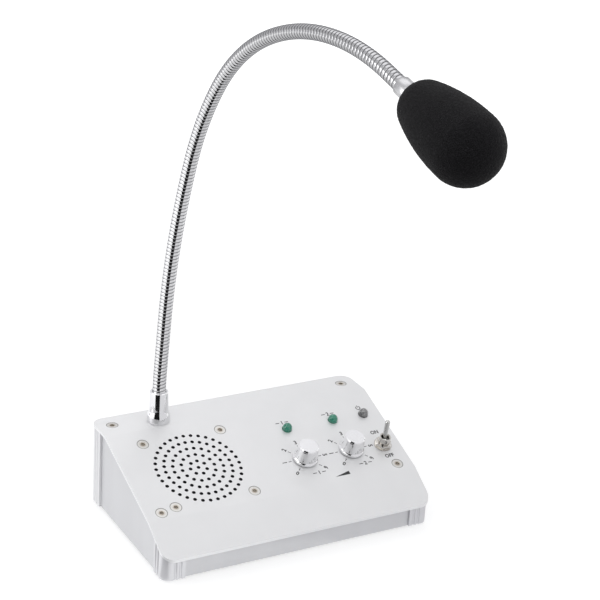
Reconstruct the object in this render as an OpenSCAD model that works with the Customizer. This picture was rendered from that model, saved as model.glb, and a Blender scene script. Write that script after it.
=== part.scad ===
// Teller window intercom: the clerk's counter unit with a gooseneck microphone.
// Millimetres. The origin is on the counter, under the middle of the base.
// +Z is up, the clerk sits at -Y and +X is to the clerk's right.

/* [Top panel] */
// Width of the panel
panel_w = 155; // [150:1:200]
// Thickness of the folded plate
panel_t = 1.2; // [1:0.1:2.4]
// Height of the flat back strip above the counter
back_h = 46.5; // [44:0.5:64]
// Depth of the flat back strip
strip_l = 20.8; // [19:0.1:28]
// Length of the main slope, measured down the slope
main_l = 59.8; // [58:0.1:75]
// Angle of the main slope
main_a = 20; // [16:1:22]
// Length of the front lip, measured down the lip
lip_l = 22.8; // [20:0.1:28]
// Angle of the front lip
lip_a = 32; // [26:1:36]
// Plan radius of the panel's corners
corner_r = 6.5; // [3:0.5:8]

/* [Posts and sheets] */
// Width of a corner post on each face
post_w = 12; // [11.5:0.5:14]
// Radius of a post's outer corner
post_r = 5; // [3:0.5:5.5]
// Overhang of the panel past the posts at the sides
side_over = 0.5; // [0.2:0.1:2]
// Overhang of the panel past the posts at the front
front_over = 1.8; // [1.2:0.1:3]
// Overhang of the panel past the posts at the back
back_over = 0.8; // [0.2:0.1:2]
// How far the sheets lie behind the posts' faces
sheet_recess = 1.2; // [0.8:0.1:2]
// Thickness of the sheets
sheet_t = 1.5; // [1:0.1:2]
// How far a sheet's edge enters the post's slot
tongue_l = 3; // [2:0.5:3.5]
// Width of a flute in a post
flute_w = 1.6; // [0.8:0.1:1.8]
// Depth of a flute in a post
flute_d = 0.6; // [0.2:0.1:0.7]
// Thickness of the bottom plate
bottom_t = 1.5; // [1:0.1:2]
// Thickness of the anti-slip pad
pad_t = 1.5; // [1:0.1:3]
// Width of the side sheets' folded bottom flange
flange_w = 10; // [9:0.5:14]

/* [Screws] */
// Thread diameter of the countersunk screws
screw_d = 3; // [2.5:0.1:3.5]
// Head diameter of the countersunk screws
head_d = 6.4; // [5.6:0.1:6.8]
// Height of their undercut head
head_h = 0.7; // [0.5:0.1:0.8]
// Width across the flats of their hexagon socket
socket_af = 2.2; // [1.5:0.1:2.5]
// Distance of the corner screws from the panel's side edges
corner_screw_x = 8.7; // [7:0.1:11]
// Distance of the rear corner screws from the panel's back edge
rear_screw_y = 9.4; // [8.5:0.1:10]
// Distance of the front corner screws down the main slope
front_screw_s = 55.4; // [53:0.1:56]

/* [Speaker] */
// Distance of the grille's centre from the left edge
grille_from_left = 39.4; // [38:0.1:50]
// Distance of the grille's centre down the main slope
grille_s = 31.5; // [31:0.1:33]
// Pitch of the grille's rings
ring_pitch = 4.5; // [3.8:0.1:4.6]
// Diameter of a grille hole
grille_hole_d = 2; // [1.2:0.1:2.3]
// Side of the square of speaker screws
speaker_pitch = 44.3; // [40:0.1:45]
// Side of the speaker's square frame
speaker_w = 53; // [52:0.5:54]
// Depth of the speaker's basket
basket_h = 12; // [10:0.5:13]
// Diameter of the speaker's magnet
magnet_d = 30; // [24:1:32]
// Height of the speaker's magnet
magnet_h = 7; // [5:0.5:8]

/* [Controls] */
// Distance of the switch from the right edge
switch_from_right = 10.2; // [10:0.1:14]
// Distance of the outside volume knob from the right edge
outside_from_right = 29.3; // [28.5:0.1:34]
// Distance between the two knobs
knob_spacing = 28; // [24:0.5:30]
// Distance of the lamps down the main slope
lamp_s = 17.5; // [14:0.5:20]
// Distance of the knobs down the main slope
knob_s = 39.8; // [36:0.1:43]
// Distance of the switch down the main slope
switch_s = 41; // [38:0.1:43]
// Diameter of a lamp
lamp_d = 5; // [3:0.5:5]
// Height of a lamp above the panel
lamp_h = 3.7; // [2:0.1:5]
// Diameter of a knob's cap at its top
knob_d = 10.8; // [10:0.1:12.2]
// Width of the rim where a knob's cap stands on its skirt
knob_rim_w = 0.5; // [0.3:0.1:0.8]
// Width of the pointer notch in a knob's rim
pointer_w = 2.2; // [1:0.1:3]
// Height of the pointer notch in a knob's rim
pointer_h = 1.3; // [0.8:0.1:3]
// Diameter of a knob's skirt
skirt_d = 13.4; // [13:0.1:16]
// Height of a knob above the panel
knob_h = 10; // [9:0.1:14]
// Height of a knob's skirt above the panel
skirt_h = 2; // [1.8:0.1:2.6]
// Diameter of the potentiometers' shafts
shaft_d = 6; // [5:0.5:6]
// Diameter of the potentiometers' threaded bushings
pot_bushing_d = 7; // [6.8:0.1:7.4]
// Diameter of a potentiometer's body
pot_d = 16; // [14:0.5:17]
// Height of a potentiometer's body
pot_h = 7.5; // [6:0.5:9]
// Turn of a knob from 0 to 6
knob_turn = 270; // [240:10:300]
// Diameter of the switch's threaded bushing
switch_bushing_d = 6.2; // [6:0.1:6.8]
// Height of the switch's bushing above the panel
switch_bushing_h = 6.3; // [5.5:0.1:8]
// Diameter of the switch lever's thick end
lever_d = 2.8; // [2.4:0.1:3]
// Height of the lever's tip above its pivot
lever_l = 13; // [10:0.5:16]
// Lean of the lever to each side of upright
lever_a = 11; // [6:1:12]

/* [Gooseneck] */
// Distance of the gooseneck from the left edge
neck_from_left = 33.1; // [32:0.1:45]
// Distance of the gooseneck from the back edge
neck_from_back = 13.6; // [12:0.1:14]
// Height of the chromed socket
ferrule_h = 17.5; // [14:0.5:24]
// Diameter of the socket's foot
ferrule_foot_d = 11.7; // [10.5:0.1:14]
// Diameter of the socket's top
ferrule_top_d = 8.8; // [8.6:0.1:10]
// Diameter of the wound tube over its ribs
neck_d = 7; // [6:0.1:7.2]
// Depth of the groove between two ribs
rib_depth = 0.35; // [0.2:0.05:0.4]
// Distance from rib to rib
rib_pitch = 2; // [1.9:0.1:3]
// Bore for the microphone's lead
neck_bore_d = 2.8; // [2:0.1:3]
// Length of one stretch between two bending points
stretch_l = 48; // [40:1:58]
// How deep the tube sits in the socket
ferrule_grip = 8.5; // [7:0.5:10]
// How deep the tube sits in the microphone's sleeve
collar_grip = 5; // [4:0.5:8]
// Direction in plan in which the neck arches
neck_az = -83; // [-100:1:-60]

/* [Microphone] */
// Diameter of the chromed sleeve
sleeve_d = 8.6; // [8.6:0.1:9.6]
// Length of the sleeve up to the capsule housing
sleeve_l = 20; // [16:0.5:24]
// Diameter of the capsule housing
housing_d = 10.6; // [10.4:0.1:12]
// Length of the capsule housing
housing_l = 17; // [14:0.5:20]
// Distance from the tube's end to the foam's rear ball
foam_rear_l = 21.3; // [20:0.1:26]
// Radius of the foam's rear ball
foam_rear_r = 12.3; // [10:0.1:14]
// Distance from the tube's end to the foam's front ball
foam_front_l = 46.9; // [44:0.1:56]
// Radius of the foam's front ball
foam_front_r = 16.3; // [14:0.1:19]

/* [Inside and rear] */
// Height of the circuit board above the bottom plate
standoff_h = 6; // [4:0.5:7]
// Width of the circuit board
board_w = 60; // [56:1:62]
// Depth of the circuit board
board_d = 48; // [46:1:50]
// Distance of the circuit board from the right edge
board_from_right = 17; // [16:0.5:18]
// Distance of the power jack from the right edge
power_jack_from_right = 32; // [26:0.5:36]
// Distance of the outside unit's jack from the right edge
unit_jack_from_right = 56; // [52:0.5:60]
// Height of the jacks above the counter
jack_z = 17; // [16:0.5:22]
// Bore of the outside unit's jack
unit_jack_bore_d = 3.6; // [3.5:0.05:3.7]
// Depth of the outside unit's jack
unit_jack_bore_l = 14; // [12:0.5:15]

/* [Hidden] */

$fn = 48;
eps = 0.01;
// clearance of a screw, lamp or collar in its hole
hole_gap = 0.1;
// clearance of a turning shaft in its bushing
run_gap = 0.05;
// clearance of a sheet in its slot
slot_gap = 0.05;

silver = [0.86, 0.86, 0.87];
sheet_grey = [0.78, 0.78, 0.80];
chrome = [0.80, 0.80, 0.82];
nickel = [0.72, 0.69, 0.62];
dark = [0.12, 0.12, 0.13];

// ---- the panel's folded outline, worked out from its three facets
panel_d = strip_l + main_l * cos(main_a) + lip_l * cos(lip_a);
back_y = panel_d / 2;
bend_y = back_y - strip_l;
lip_y = bend_y - main_l * cos(main_a);
lip_z = back_h - main_l * sin(main_a);
front_y = -panel_d / 2;
front_z = lip_z - lip_l * sin(lip_a);

// underside corners: each lies on the line that halves the bend
under_bend = [bend_y + panel_t * tan(main_a / 2), back_h - panel_t];
under_lip = [
  lip_y + panel_t * sin((main_a + lip_a) / 2) / cos((lip_a - main_a) / 2),
  lip_z - panel_t * cos((main_a + lip_a) / 2) / cos((lip_a - main_a) / 2)
];
under_front = [front_y, front_z - panel_t / cos(lip_a)];

// ---- planes of the posts and sheets
post_x = panel_w / 2 - side_over;
post_front_y = front_y + front_over;
post_back_y = back_y - back_over;
sheet_x = post_x - sheet_recess;
sheet_front_y = post_front_y + sheet_recess;
sheet_back_y = post_back_y - sheet_recess;
floor_z = pad_t + bottom_t;

// screw channel of a post, from its two outer faces
channel = [corner_screw_x - side_over, rear_screw_y - back_over];
flutes = [6.6, 9.3];
flute_r = (flute_w * flute_w / 4 + flute_d * flute_d) / (2 * flute_d);

// ---- places on the main slope
grille_x = -panel_w / 2 + grille_from_left;
outside_x = panel_w / 2 - outside_from_right;
inside_x = outside_x - knob_spacing;
switch_x = panel_w / 2 - switch_from_right;
lamp_xs = [inside_x, outside_x, switch_x];
grille_counts = [1, 7, 14, 21, 29, 35];
grille_turn = 12.6;

head_sink = 0.1;
socket_h = 1.1;
bottom_head_d = screw_d + 2 * (bottom_t - 0.4);
cloth_t = 0.3;
frame_t = 1.2;
nut_h = 2.4;
nut_af = 5.5;
speaker_hole = speaker_pitch / 2;

// ---- knobs and potentiometers
knob_gap = 0.4;
pot_nut_h = 1.5;
pot_nut_af = 10;
recess_r = pot_nut_af / 2 / cos(30) + 0.3;
recess_h = pot_nut_h + 0.4;
bushing_top = recess_h + 1.4;
shaft_top = knob_h - 1.6;
shaft_foot = panel_t + pot_h - 2.5;
pointer_d = 0.6;
pointer_a = 225;

// ---- switch
switch_pivot_h = switch_bushing_h - 2.8;
lever_ball_r = 1.9;
lever_pin_r = 0.5;
lever_pin_l = 2 * lever_ball_r + 1.6;
lever_root_d = lever_d - 0.5;
switch_nut_af = 8;
switch_nut_h = 2;
switch_washer_t = 0.5;
switch_case = [7.9, 12.5, 9.5];

// ---- gooseneck
neck_x = -panel_w / 2 + neck_from_left;
neck_y = back_y - neck_from_back;
// how far each stretch bends over, from the socket to the microphone
neck_turn = [5, 7, 6, 17, 28, 24, 21];
last = len(neck_turn) - 1;
first_arc_l = 12;
neck_sides = 8;
hinge_gap = 0.9;
ball_r = 2.45;
socket_r = 2.9;
stud_d = 8;
stud_l = 8;
gooseneck_washer_t = 0.8;
gooseneck_nut_h = 3.5;

// ---- rear jacks
power_jack_x = panel_w / 2 - power_jack_from_right;
unit_jack_x = panel_w / 2 - unit_jack_from_right;
jack_thread_l = 4.2;
jack_nut_h = 2;

// ==== shared shapes

// a plate with round corners, standing on z = 0
module round_plate(w, d, r, h) {
  linear_extrude(h) {
    square([w - 2 * r, d], center = true);
    square([w, d - 2 * r], center = true);
    for (x = [-1, 1])
      for (y = [-1, 1])
        translate([x * (w / 2 - r), y * (d / 2 - r)])
          circle(r);
  }
}

// a place on the main slope: x across, s down the slope from the rear bend, h above its face
module on_main(x, s, h = 0) {
  translate([x, bend_y, back_h])
    rotate([main_a, 0, 0])
      translate([0, -s, h])
        children();
}

// a place on the flat back strip
module on_strip(x, y, h = 0) {
  translate([x, y, back_h + h])
    children();
}

// the room under the panel's underside, for what ends against it
module under_panel() {
  rotate([90, 0, 90])
    linear_extrude(panel_w + 20, center = true)
      polygon([
        [front_y - 20, -60],
        [back_y + 20, -60],
        [back_y + 20, back_h - panel_t],
        under_bend,
        under_lip,
        under_front,
        [front_y - 20, under_front[1] - (under_front[0] - front_y + 20) * tan(lip_a)]
      ]);
}

// hexagon socket screw with an undercut head for thin plate, its head's face at z = 0
module csk_screw(l, head = head_d) {
  difference() {
    union() {
      translate([0, 0, -head_h])
        cylinder(h = head_h, d1 = head - 2 * head_h, d2 = head);
      translate([0, 0, -l])
        cylinder(h = l - head_h + eps, d = screw_d);
    }
    translate([0, 0, -socket_h])
      cylinder(h = socket_h + 1, d = socket_af / cos(30), $fn = 6);
  }
}

// its hole, cut from a face at z = 0
module csk_hole(head = head_d) {
  translate([0, 0, -20])
    cylinder(h = 21, d = screw_d + 2 * hole_gap);
  translate([0, 0, -head_h - head_sink - hole_gap])
    cylinder(h = head_h, d1 = head - 2 * head_h, d2 = head);
  translate([0, 0, -head_sink - hole_gap - eps])
    cylinder(h = 1, d = head);
}

// hexagon nut with chamfered corners and a plain bore, standing on z = 0
module hex_nut(af, h, bore) {
  corner = af / cos(30);
  difference() {
    intersection() {
      cylinder(h = h, d = corner, $fn = 6);
      translate([0, 0, -eps])
        cylinder(h = h + 2 * eps, d1 = corner + h, d2 = af + 0.2);
    }
    translate([0, 0, -1])
      cylinder(h = h + 2, d = bore);
  }
}

module ring(outer, bore, h) {
  difference() {
    cylinder(h = h, d = outer);
    translate([0, 0, -1])
      cylinder(h = h + 2, d = bore);
  }
}

module at_speaker_screws() {
  for (x = [-1, 1])
    for (y = [-1, 1])
      on_main(grille_x + x * speaker_hole, grille_s + y * speaker_hole)
        children();
}

module at_corner_screws() {
  for (x = [-1, 1]) {
    on_strip(x * (panel_w / 2 - corner_screw_x), back_y - rear_screw_y)
      children();
    on_main(x * (panel_w / 2 - corner_screw_x), front_screw_s)
      children();
  }
}

// ==== housing

module grille_holes() {
  for (ring_no = [0 : len(grille_counts) - 1])
    for (k = [0 : grille_counts[ring_no] - 1])
      rotate(-grille_turn - k * 360 / grille_counts[ring_no])
        translate([0, ring_no * ring_pitch, -panel_t - 1])
          cylinder(h = panel_t + 2, d = grille_hole_d, $fn = 20);
}

module top_panel() {
  color(silver)
    difference() {
      intersection() {
        rotate([90, 0, 90])
          linear_extrude(panel_w, center = true)
            polygon([
              [back_y, back_h],
              [bend_y, back_h],
              [lip_y, lip_z],
              [front_y, front_z],
              under_front,
              under_lip,
              under_bend,
              [back_y, back_h - panel_t]
            ]);
        round_plate(panel_w, panel_d, corner_r, back_h + 1);
      }
      on_main(grille_x, grille_s)
        grille_holes();
      at_speaker_screws()
        csk_hole();
      at_corner_screws()
        csk_hole();
      for (x = lamp_xs)
        on_main(x, lamp_s, -panel_t - 1)
          cylinder(h = panel_t + 2, d = lamp_d + 0.5);
      for (x = [inside_x, outside_x])
        on_main(x, knob_s, -panel_t - 1)
          cylinder(h = panel_t + 2, d = pot_bushing_d + 2 * hole_gap);
      on_main(switch_x, switch_s, -panel_t - 1)
        cylinder(h = panel_t + 2, d = switch_bushing_d + 2 * hole_gap);
      on_strip(neck_x, neck_y, -panel_t - 1)
        cylinder(h = panel_t + 2, d = stud_d + 2 * hole_gap);
    }
}

// the extrusion's section, its outer corner at the origin
module post_section() {
  difference() {
    union() {
      translate([post_r, 0])
        square([post_w - post_r, post_w]);
      translate([0, post_r])
        square([post_w, post_w - post_r]);
      translate([post_r, post_r])
        circle(post_r);
    }
    for (a = flutes) {
      translate([a, flute_d - flute_r])
        circle(flute_r);
      translate([flute_d - flute_r, a])
        circle(flute_r);
    }
    translate([post_w - tongue_l - slot_gap, sheet_recess - slot_gap])
      square([tongue_l + 1, sheet_t + 2 * slot_gap]);
    translate([sheet_recess - slot_gap, post_w - tongue_l - slot_gap])
      square([sheet_t + 2 * slot_gap, tongue_l + 1]);
    translate(channel)
      circle(screw_d / 2 + hole_gap);
  }
}

// side is -1 for left and 1 for right; rear is true for the rear posts
module corner_post(side, rear) {
  color(sheet_grey)
    intersection() {
      translate([side * post_x, rear ? post_back_y : post_front_y, pad_t])
        mirror([side > 0 ? 1 : 0, 0, 0])
          mirror([0, rear ? 1 : 0, 0])
            linear_extrude(back_h)
              post_section();
      under_panel();
    }
}

sheet_end_x = post_x - post_w + tongue_l;

module front_sheet() {
  color(sheet_grey)
    intersection() {
      translate([-sheet_end_x, sheet_front_y, pad_t])
        cube([2 * sheet_end_x, sheet_t, back_h]);
      under_panel();
    }
}

module rear_sheet() {
  color(sheet_grey)
    difference() {
      translate([-sheet_end_x, sheet_back_y - sheet_t, pad_t])
        cube([2 * sheet_end_x, sheet_t, back_h - panel_t - pad_t]);
      for (jack = [[power_jack_x, 8], [unit_jack_x, 6]])
        translate([jack[0], sheet_back_y + 1, jack_z])
          rotate([90, 0, 0])
            cylinder(h = sheet_t + 2, d = jack[1] + 2 * hole_gap);
    }
}

// a side sheet with its folded flange below and its ear for the front corner screw
module side_sheet(side) {
  tongue_front = post_front_y + post_w - tongue_l;
  tongue_back = post_back_y - post_w + tongue_l;
  flange_front = post_front_y + post_w + 0.5;
  flange_back = post_back_y - post_w - 0.5;
  ear_l = 8;
  ear_w = corner_screw_x - side_over - sheet_recess - sheet_t + 3.5;
  color(sheet_grey)
    mirror([side > 0 ? 0 : 1, 0, 0])
      difference() {
        intersection() {
          union() {
            translate([sheet_x - sheet_t, tongue_front, pad_t])
              cube([sheet_t, tongue_back - tongue_front, back_h]);
            translate([sheet_x - flange_w, flange_front, floor_z])
              cube([flange_w - sheet_t / 2, flange_back - flange_front, sheet_t]);
            on_main(0, front_screw_s, -panel_t - sheet_t)
              translate([sheet_x - sheet_t - ear_w, -ear_l / 2 + 0.8, 0])
                cube([ear_w + sheet_t / 2, ear_l, sheet_t + 1]);
          }
          under_panel();
        }
        on_main(panel_w / 2 - corner_screw_x, front_screw_s, -panel_t - sheet_t - 1)
          cylinder(h = sheet_t + 2, d = screw_d + 2 * hole_gap);
        for (y = bottom_screw_ys)
          translate([bottom_screw_x, y, floor_z - 1])
            cylinder(h = sheet_t + 2, d = screw_d + 2 * hole_gap);
      }
}

bottom_screw_x = sheet_x - sheet_t - (flange_w - sheet_t) / 2;
bottom_screw_ys = [post_front_y + post_w + 8, post_back_y - post_w - 8];

module at_bottom_screws() {
  for (x = [-1, 1])
    for (y = bottom_screw_ys)
      translate([x * bottom_screw_x, y, pad_t])
        mirror([0, 0, 1])
          children();
}

module bottom_plate() {
  plate_x = sheet_x - sheet_t - hole_gap;
  plate_front = sheet_front_y + sheet_t + hole_gap;
  plate_back = sheet_back_y - sheet_t - hole_gap;
  notch = post_w - sheet_recess + slot_gap;
  color(sheet_grey)
    difference() {
      translate([-plate_x, plate_front, pad_t])
        cube([2 * plate_x, plate_back - plate_front, bottom_t]);
      for (x = [-1, 1])
        for (y = [sheet_front_y + notch / 2 - 1, sheet_back_y - notch / 2 + 1])
          translate([x * (sheet_x - notch / 2 + 1), y, pad_t])
            cube([notch + 2, notch + 2, 3 * bottom_t], center = true);
      at_bottom_screws()
        csk_hole(bottom_head_d);
      for (p = board_holes)
        translate([p[0], p[1], pad_t - 1])
          cylinder(h = bottom_t + 2, d = screw_d - 0.5);
    }
}

module anti_slip_pad() {
  side_margin = 18;
  end_margin = 9;
  color(dark)
    round_plate(panel_w - 2 * side_margin, panel_d - 2 * end_margin, 4, pad_t);
}

module corner_screws() {
  color(nickel)
    at_corner_screws()
      translate([0, 0, -head_sink])
        csk_screw(8);
}

module bottom_screws() {
  color(nickel)
    at_bottom_screws()
      translate([0, 0, -head_sink])
        csk_screw(6, bottom_head_d);
}

// ==== loudspeaker

module speaker_screws() {
  color(nickel)
    at_speaker_screws()
      translate([0, 0, -head_sink])
        csk_screw(8);
}

// nuts under the speaker's frame and under the side sheets' ears
module panel_nuts() {
  color(nickel) {
    at_speaker_screws()
      translate([0, 0, -panel_t - cloth_t - frame_t - nut_h])
        hex_nut(nut_af, nut_h, screw_d + 2 * hole_gap);
    for (x = [-1, 1])
      on_main(x * (panel_w / 2 - corner_screw_x), front_screw_s, -panel_t - sheet_t - nut_h)
        hex_nut(nut_af, nut_h, screw_d + 2 * hole_gap);
  }
}

module screw_clearances(depth) {
  for (x = [-1, 1])
    for (y = [-1, 1])
      translate([x * speaker_hole, y * speaker_hole, -depth])
        cylinder(h = depth + 1, d = screw_d + 2 * hole_gap);
}

module dust_cloth() {
  color(dark)
    on_main(grille_x, grille_s, -panel_t)
      difference() {
        translate([0, 0, -cloth_t])
          round_plate(speaker_w - 1, speaker_w - 1, 4, cloth_t);
        screw_clearances(2);
      }
}

// the speaker's own places: its frame's face is z = 0 and its back is below
module on_speaker() {
  on_main(grille_x, grille_s, -panel_t - cloth_t)
    children();
}

basket_r = speaker_pitch / 2 + 1.5;

module speaker_basket() {
  foot_r = magnet_d / 2 + 0.5;
  color(sheet_grey)
    on_speaker()
      difference() {
        union() {
          translate([0, 0, -frame_t])
            round_plate(speaker_w, speaker_w, 5, frame_t);
          rotate_extrude()
            polygon([
              [0, 0], [basket_r + 1, 0], [basket_r + 1, -frame_t], [foot_r, 1 - basket_h],
              [foot_r, -basket_h], [0, -basket_h]
            ]);
        }
        rotate_extrude()
          polygon([
            [0, 1], [basket_r, 1], [basket_r, -frame_t - 0.5], [foot_r - 1, 1 - basket_h],
            [8, 1 - basket_h], [8, -basket_h - 1], [0, -basket_h - 1]
          ]);
        // four windows in the basket's wall
        for (a = [45, 135])
          rotate(a)
            translate([0, 0, -basket_h / 2 - 0.5])
              cube([16, 2 * basket_r + 20, basket_h / 2 - 0.5], center = true);
        screw_clearances(frame_t + 2);
      }
}

module speaker_cone() {
  color(dark)
    on_speaker()
      rotate_extrude()
        polygon([
          [0, -4.8], [3, -5.1], [6, -6.2], [8, -7.6], [basket_r - 4, -1.6], [basket_r - 2, -0.6],
          [basket_r - 0.1, -1], [basket_r - 0.1, -1.4], [basket_r - 2, -1.1],
          [basket_r - 4, -2.2], [8, -8.2], [6, -6.8], [3, -5.6], [0, -5.3]
        ]);
}

module speaker_magnet() {
  r = magnet_d / 2;
  color(nickel)
    on_speaker()
      translate([0, 0, -basket_h])
        rotate_extrude()
          polygon([
            [0, 0], [r, 0], [r, -magnet_h + 2.5], [r - 1, -magnet_h + 2.5],
            [r - 1, 0.8 - magnet_h], [r - 1.8, -magnet_h], [0, -magnet_h]
          ]);
}

// ==== circuit board

board_x = panel_w / 2 - board_from_right - board_w / 2;
board_y = sheet_back_y - sheet_t - 16 - board_d / 2;
board_z = floor_z + standoff_h;
board_t = 1.6;
board_inset = 4;
board_holes = [
  for (x = [-1, 1])
    for (y = [-1, 1])
      [board_x + x * (board_w / 2 - board_inset), board_y + y * (board_d / 2 - board_inset)]
];

module circuit_board() {
  color([0.10, 0.35, 0.20])
    difference() {
      translate([board_x, board_y, board_z])
        round_plate(board_w, board_d, 1.5, board_t);
      for (p = board_holes)
        translate([p[0], p[1], board_z - 1])
          cylinder(h = board_t + 2, d = screw_d + 2 * hole_gap);
    }
}

module board_standoffs() {
  color(nickel)
    for (p = board_holes)
      translate([p[0], p[1], floor_z])
        ring(5.6, screw_d + 2 * hole_gap, standoff_h);
}

module board_screws() {
  head_r = screw_d * 0.9;
  color(nickel)
    for (p = board_holes)
      translate([p[0], p[1], board_z + board_t])
        difference() {
          union() {
            cylinder(h = 1.8, r1 = head_r, r2 = head_r - 0.5);
            translate([0, 0, -board_t - standoff_h + 0.3])
              cylinder(h = board_t + standoff_h, d = screw_d);
          }
          translate([0, 0, 1.8])
            for (a = [0, 90])
              rotate(a)
                cube([3.2, 0.6, 1.6], center = true);
        }
}

module capacitors() {
  can_h = 9;
  color(dark)
    for (k = [0 : 2])
      translate([board_x + 4 + k * 10, board_y + board_d / 2 - 14, board_z + board_t])
        rotate_extrude()
          polygon([[0, 0], [4, 0], [4, can_h - 0.6], [3.4, can_h], [0, can_h]]);
}

module heat_sink() {
  fins = 6;
  fin_pitch = 3;
  color(dark)
    translate([board_x - board_w / 2 + 8, board_y + board_d / 2 - 18, board_z + board_t]) {
      cube([(fins - 1) * fin_pitch + 1.2, 8, 2]);
      for (k = [0 : fins - 1])
        translate([k * fin_pitch, 0, 1])
          cube([1.2, 8, 9]);
    }
}

// ==== lamps

module lamp(x, tint) {
  r = lamp_d / 2;
  color(tint)
    on_main(x, lamp_s) {
      translate([0, 0, lamp_h - r])
        sphere(r);
      translate([0, 0, -panel_t - 1])
        cylinder(h = lamp_h - r + panel_t + 1, r = r);
      translate([0, 0, -panel_t - 1])
        cylinder(h = 0.9, r = r + 0.4);
      for (side = [-1, 1])
        translate([side * 1.27, 0, -panel_t - 7])
          cube([0.5, 0.5, 13], center = true);
    }
}

module lamp_clips() {
  color(dark)
    for (x = lamp_xs)
      on_main(x, lamp_s, -panel_t - 4)
        difference() {
          cylinder(h = 4, d = lamp_d + 3.6);
          translate([0, 0, -1])
            cylinder(h = 6, d = lamp_d + 1);
          translate([0, 0, 3])
            cube([1, 12, 4], center = true);
        }
}

// ==== potentiometers and knobs

module potentiometer(x) {
  r = pot_d / 2;
  color(nickel)
    on_main(x, knob_s)
      difference() {
        union() {
          translate([0, 0, -panel_t - pot_h])
            cylinder(h = pot_h, r = r);
          translate([0, 0, -panel_t - eps])
            cylinder(h = panel_t + bushing_top, d = pot_bushing_d);
          for (k = [-1, 0, 1])
            translate([k * 5, -r - 1.5, -panel_t - pot_h + 1.5])
              cube([1.2, 6, 0.8], center = true);
        }
        translate([0, 0, -shaft_foot - 0.5])
          cylinder(h = 40, d = shaft_d + 2 * run_gap);
      }
}

module potentiometer_nuts() {
  color(nickel)
    for (x = [inside_x, outside_x])
      on_main(x, knob_s)
        hex_nut(pot_nut_af, pot_nut_h, pot_bushing_d + 2 * hole_gap);
}

module volume_shaft(x) {
  color(silver)
    on_main(x, knob_s, -shaft_foot)
      rotate_extrude()
        polygon([
          [0, 0], [shaft_d / 2, 0], [shaft_d / 2, shaft_foot + shaft_top - 0.4],
          [shaft_d / 2 - 0.4, shaft_foot + shaft_top], [0, shaft_foot + shaft_top]
        ]);
}

// the turned knob: a skirt, a tapered cap with a broken edge, and a pointer notch in its rim
module volume_knob(x) {
  cap_r = knob_d / 2;
  skirt_r = skirt_d / 2;
  foot_r = skirt_r - knob_rim_w;
  color(silver)
    on_main(x, knob_s)
      difference() {
        rotate_extrude()
          polygon([
            [0, knob_gap], [skirt_r - 0.2, knob_gap], [skirt_r, knob_gap + 0.2],
            [skirt_r, skirt_h - 0.3], [skirt_r - 0.3, skirt_h], [foot_r, skirt_h + 0.3],
            [cap_r, knob_h - 0.5], [cap_r - 0.5, knob_h], [0, knob_h]
          ]);
        translate([0, 0, -1])
          cylinder(h = recess_h + 1, r = recess_r);
        translate([0, 0, -1])
          cylinder(h = bushing_top + 1.4, d = pot_bushing_d + 0.6);
        translate([0, 0, -1])
          cylinder(h = shaft_top + 1.1, d = shaft_d);
        rotate(pointer_a) {
          translate([cap_r - pointer_d, -pointer_w / 2, knob_h - pointer_h])
            cube([3, pointer_w, knob_h]);
          translate([foot_r + 0.2, -0.4, skirt_h - 0.7])
            cube([2, 0.8, 2]);
        }
      }
}

// ==== switch

module switch_body() {
  mouth_r = switch_bushing_d / 2 - 0.5;
  color(nickel)
    on_main(switch_x, switch_s)
      difference() {
        union() {
          translate([0, 0, -panel_t - switch_case[2] / 2])
            cube(switch_case, center = true);
          translate([0, 0, -panel_t - eps])
            cylinder(h = panel_t + switch_bushing_h, d = switch_bushing_d);
          for (k = [-1, 0, 1])
            translate([0, k * 4.5, -panel_t - switch_case[2] - 1.8])
              cube([2, 0.8, 4], center = true);
        }
        translate([0, 0, switch_pivot_h - lever_ball_r - 1])
          cylinder(h = 20, r = lever_ball_r + 0.3);
        translate([0, 0, switch_bushing_h - 0.4])
          cylinder(h = 1, r1 = lever_ball_r + 0.3, r2 = mouth_r + 0.6);
        translate([0, 0, switch_pivot_h])
          rotate([0, 90, 0])
            cylinder(h = lever_pin_l + 0.1, r = lever_pin_r + run_gap, center = true);
      }
}

module switch_washer() {
  color(nickel)
    on_main(switch_x, switch_s)
      ring(9.8, switch_bushing_d + 2 * hole_gap, switch_washer_t);
}

module switch_nut() {
  color(nickel)
    on_main(switch_x, switch_s, switch_washer_t)
      hex_nut(switch_nut_af, switch_nut_h, switch_bushing_d + 2 * hole_gap);
}

// the lever rests at ON, leaning up the slope
module switch_lever() {
  tip_r = lever_d / 2;
  root_r = lever_root_d / 2;
  color(chrome)
    on_main(switch_x, switch_s, switch_pivot_h)
      rotate([-lever_a, 0, 0]) {
        sphere(lever_ball_r);
        rotate([0, 90, 0])
          cylinder(h = lever_pin_l, r = lever_pin_r, center = true);
        cylinder(h = lever_l - tip_r, r1 = root_r, r2 = tip_r);
        translate([0, 0, lever_l - tip_r])
          sphere(tip_r);
      }
}

// ==== gooseneck

// the neck's curve lies in one upright plane: [out, up] from the socket's foot
function heading(a) = [sin(a), cos(a)];
function turn_before(i) = i == 0 ? 0 : turn_before(i - 1) + neck_turn[i - 1];
function straight_in(i) = i == 0 ? ferrule_grip : 0;
function straight_out(i) = i == last ? neck_d : 0;
function arc_l(i) = i == 0 ? first_arc_l : stretch_l - straight_in(i) - straight_out(i);
function turned(i, s) = neck_turn[i] * min(1, max(0, (s - straight_in(i)) / arc_l(i)));
function lean(i, s) = turn_before(i) + turned(i, s);
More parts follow.
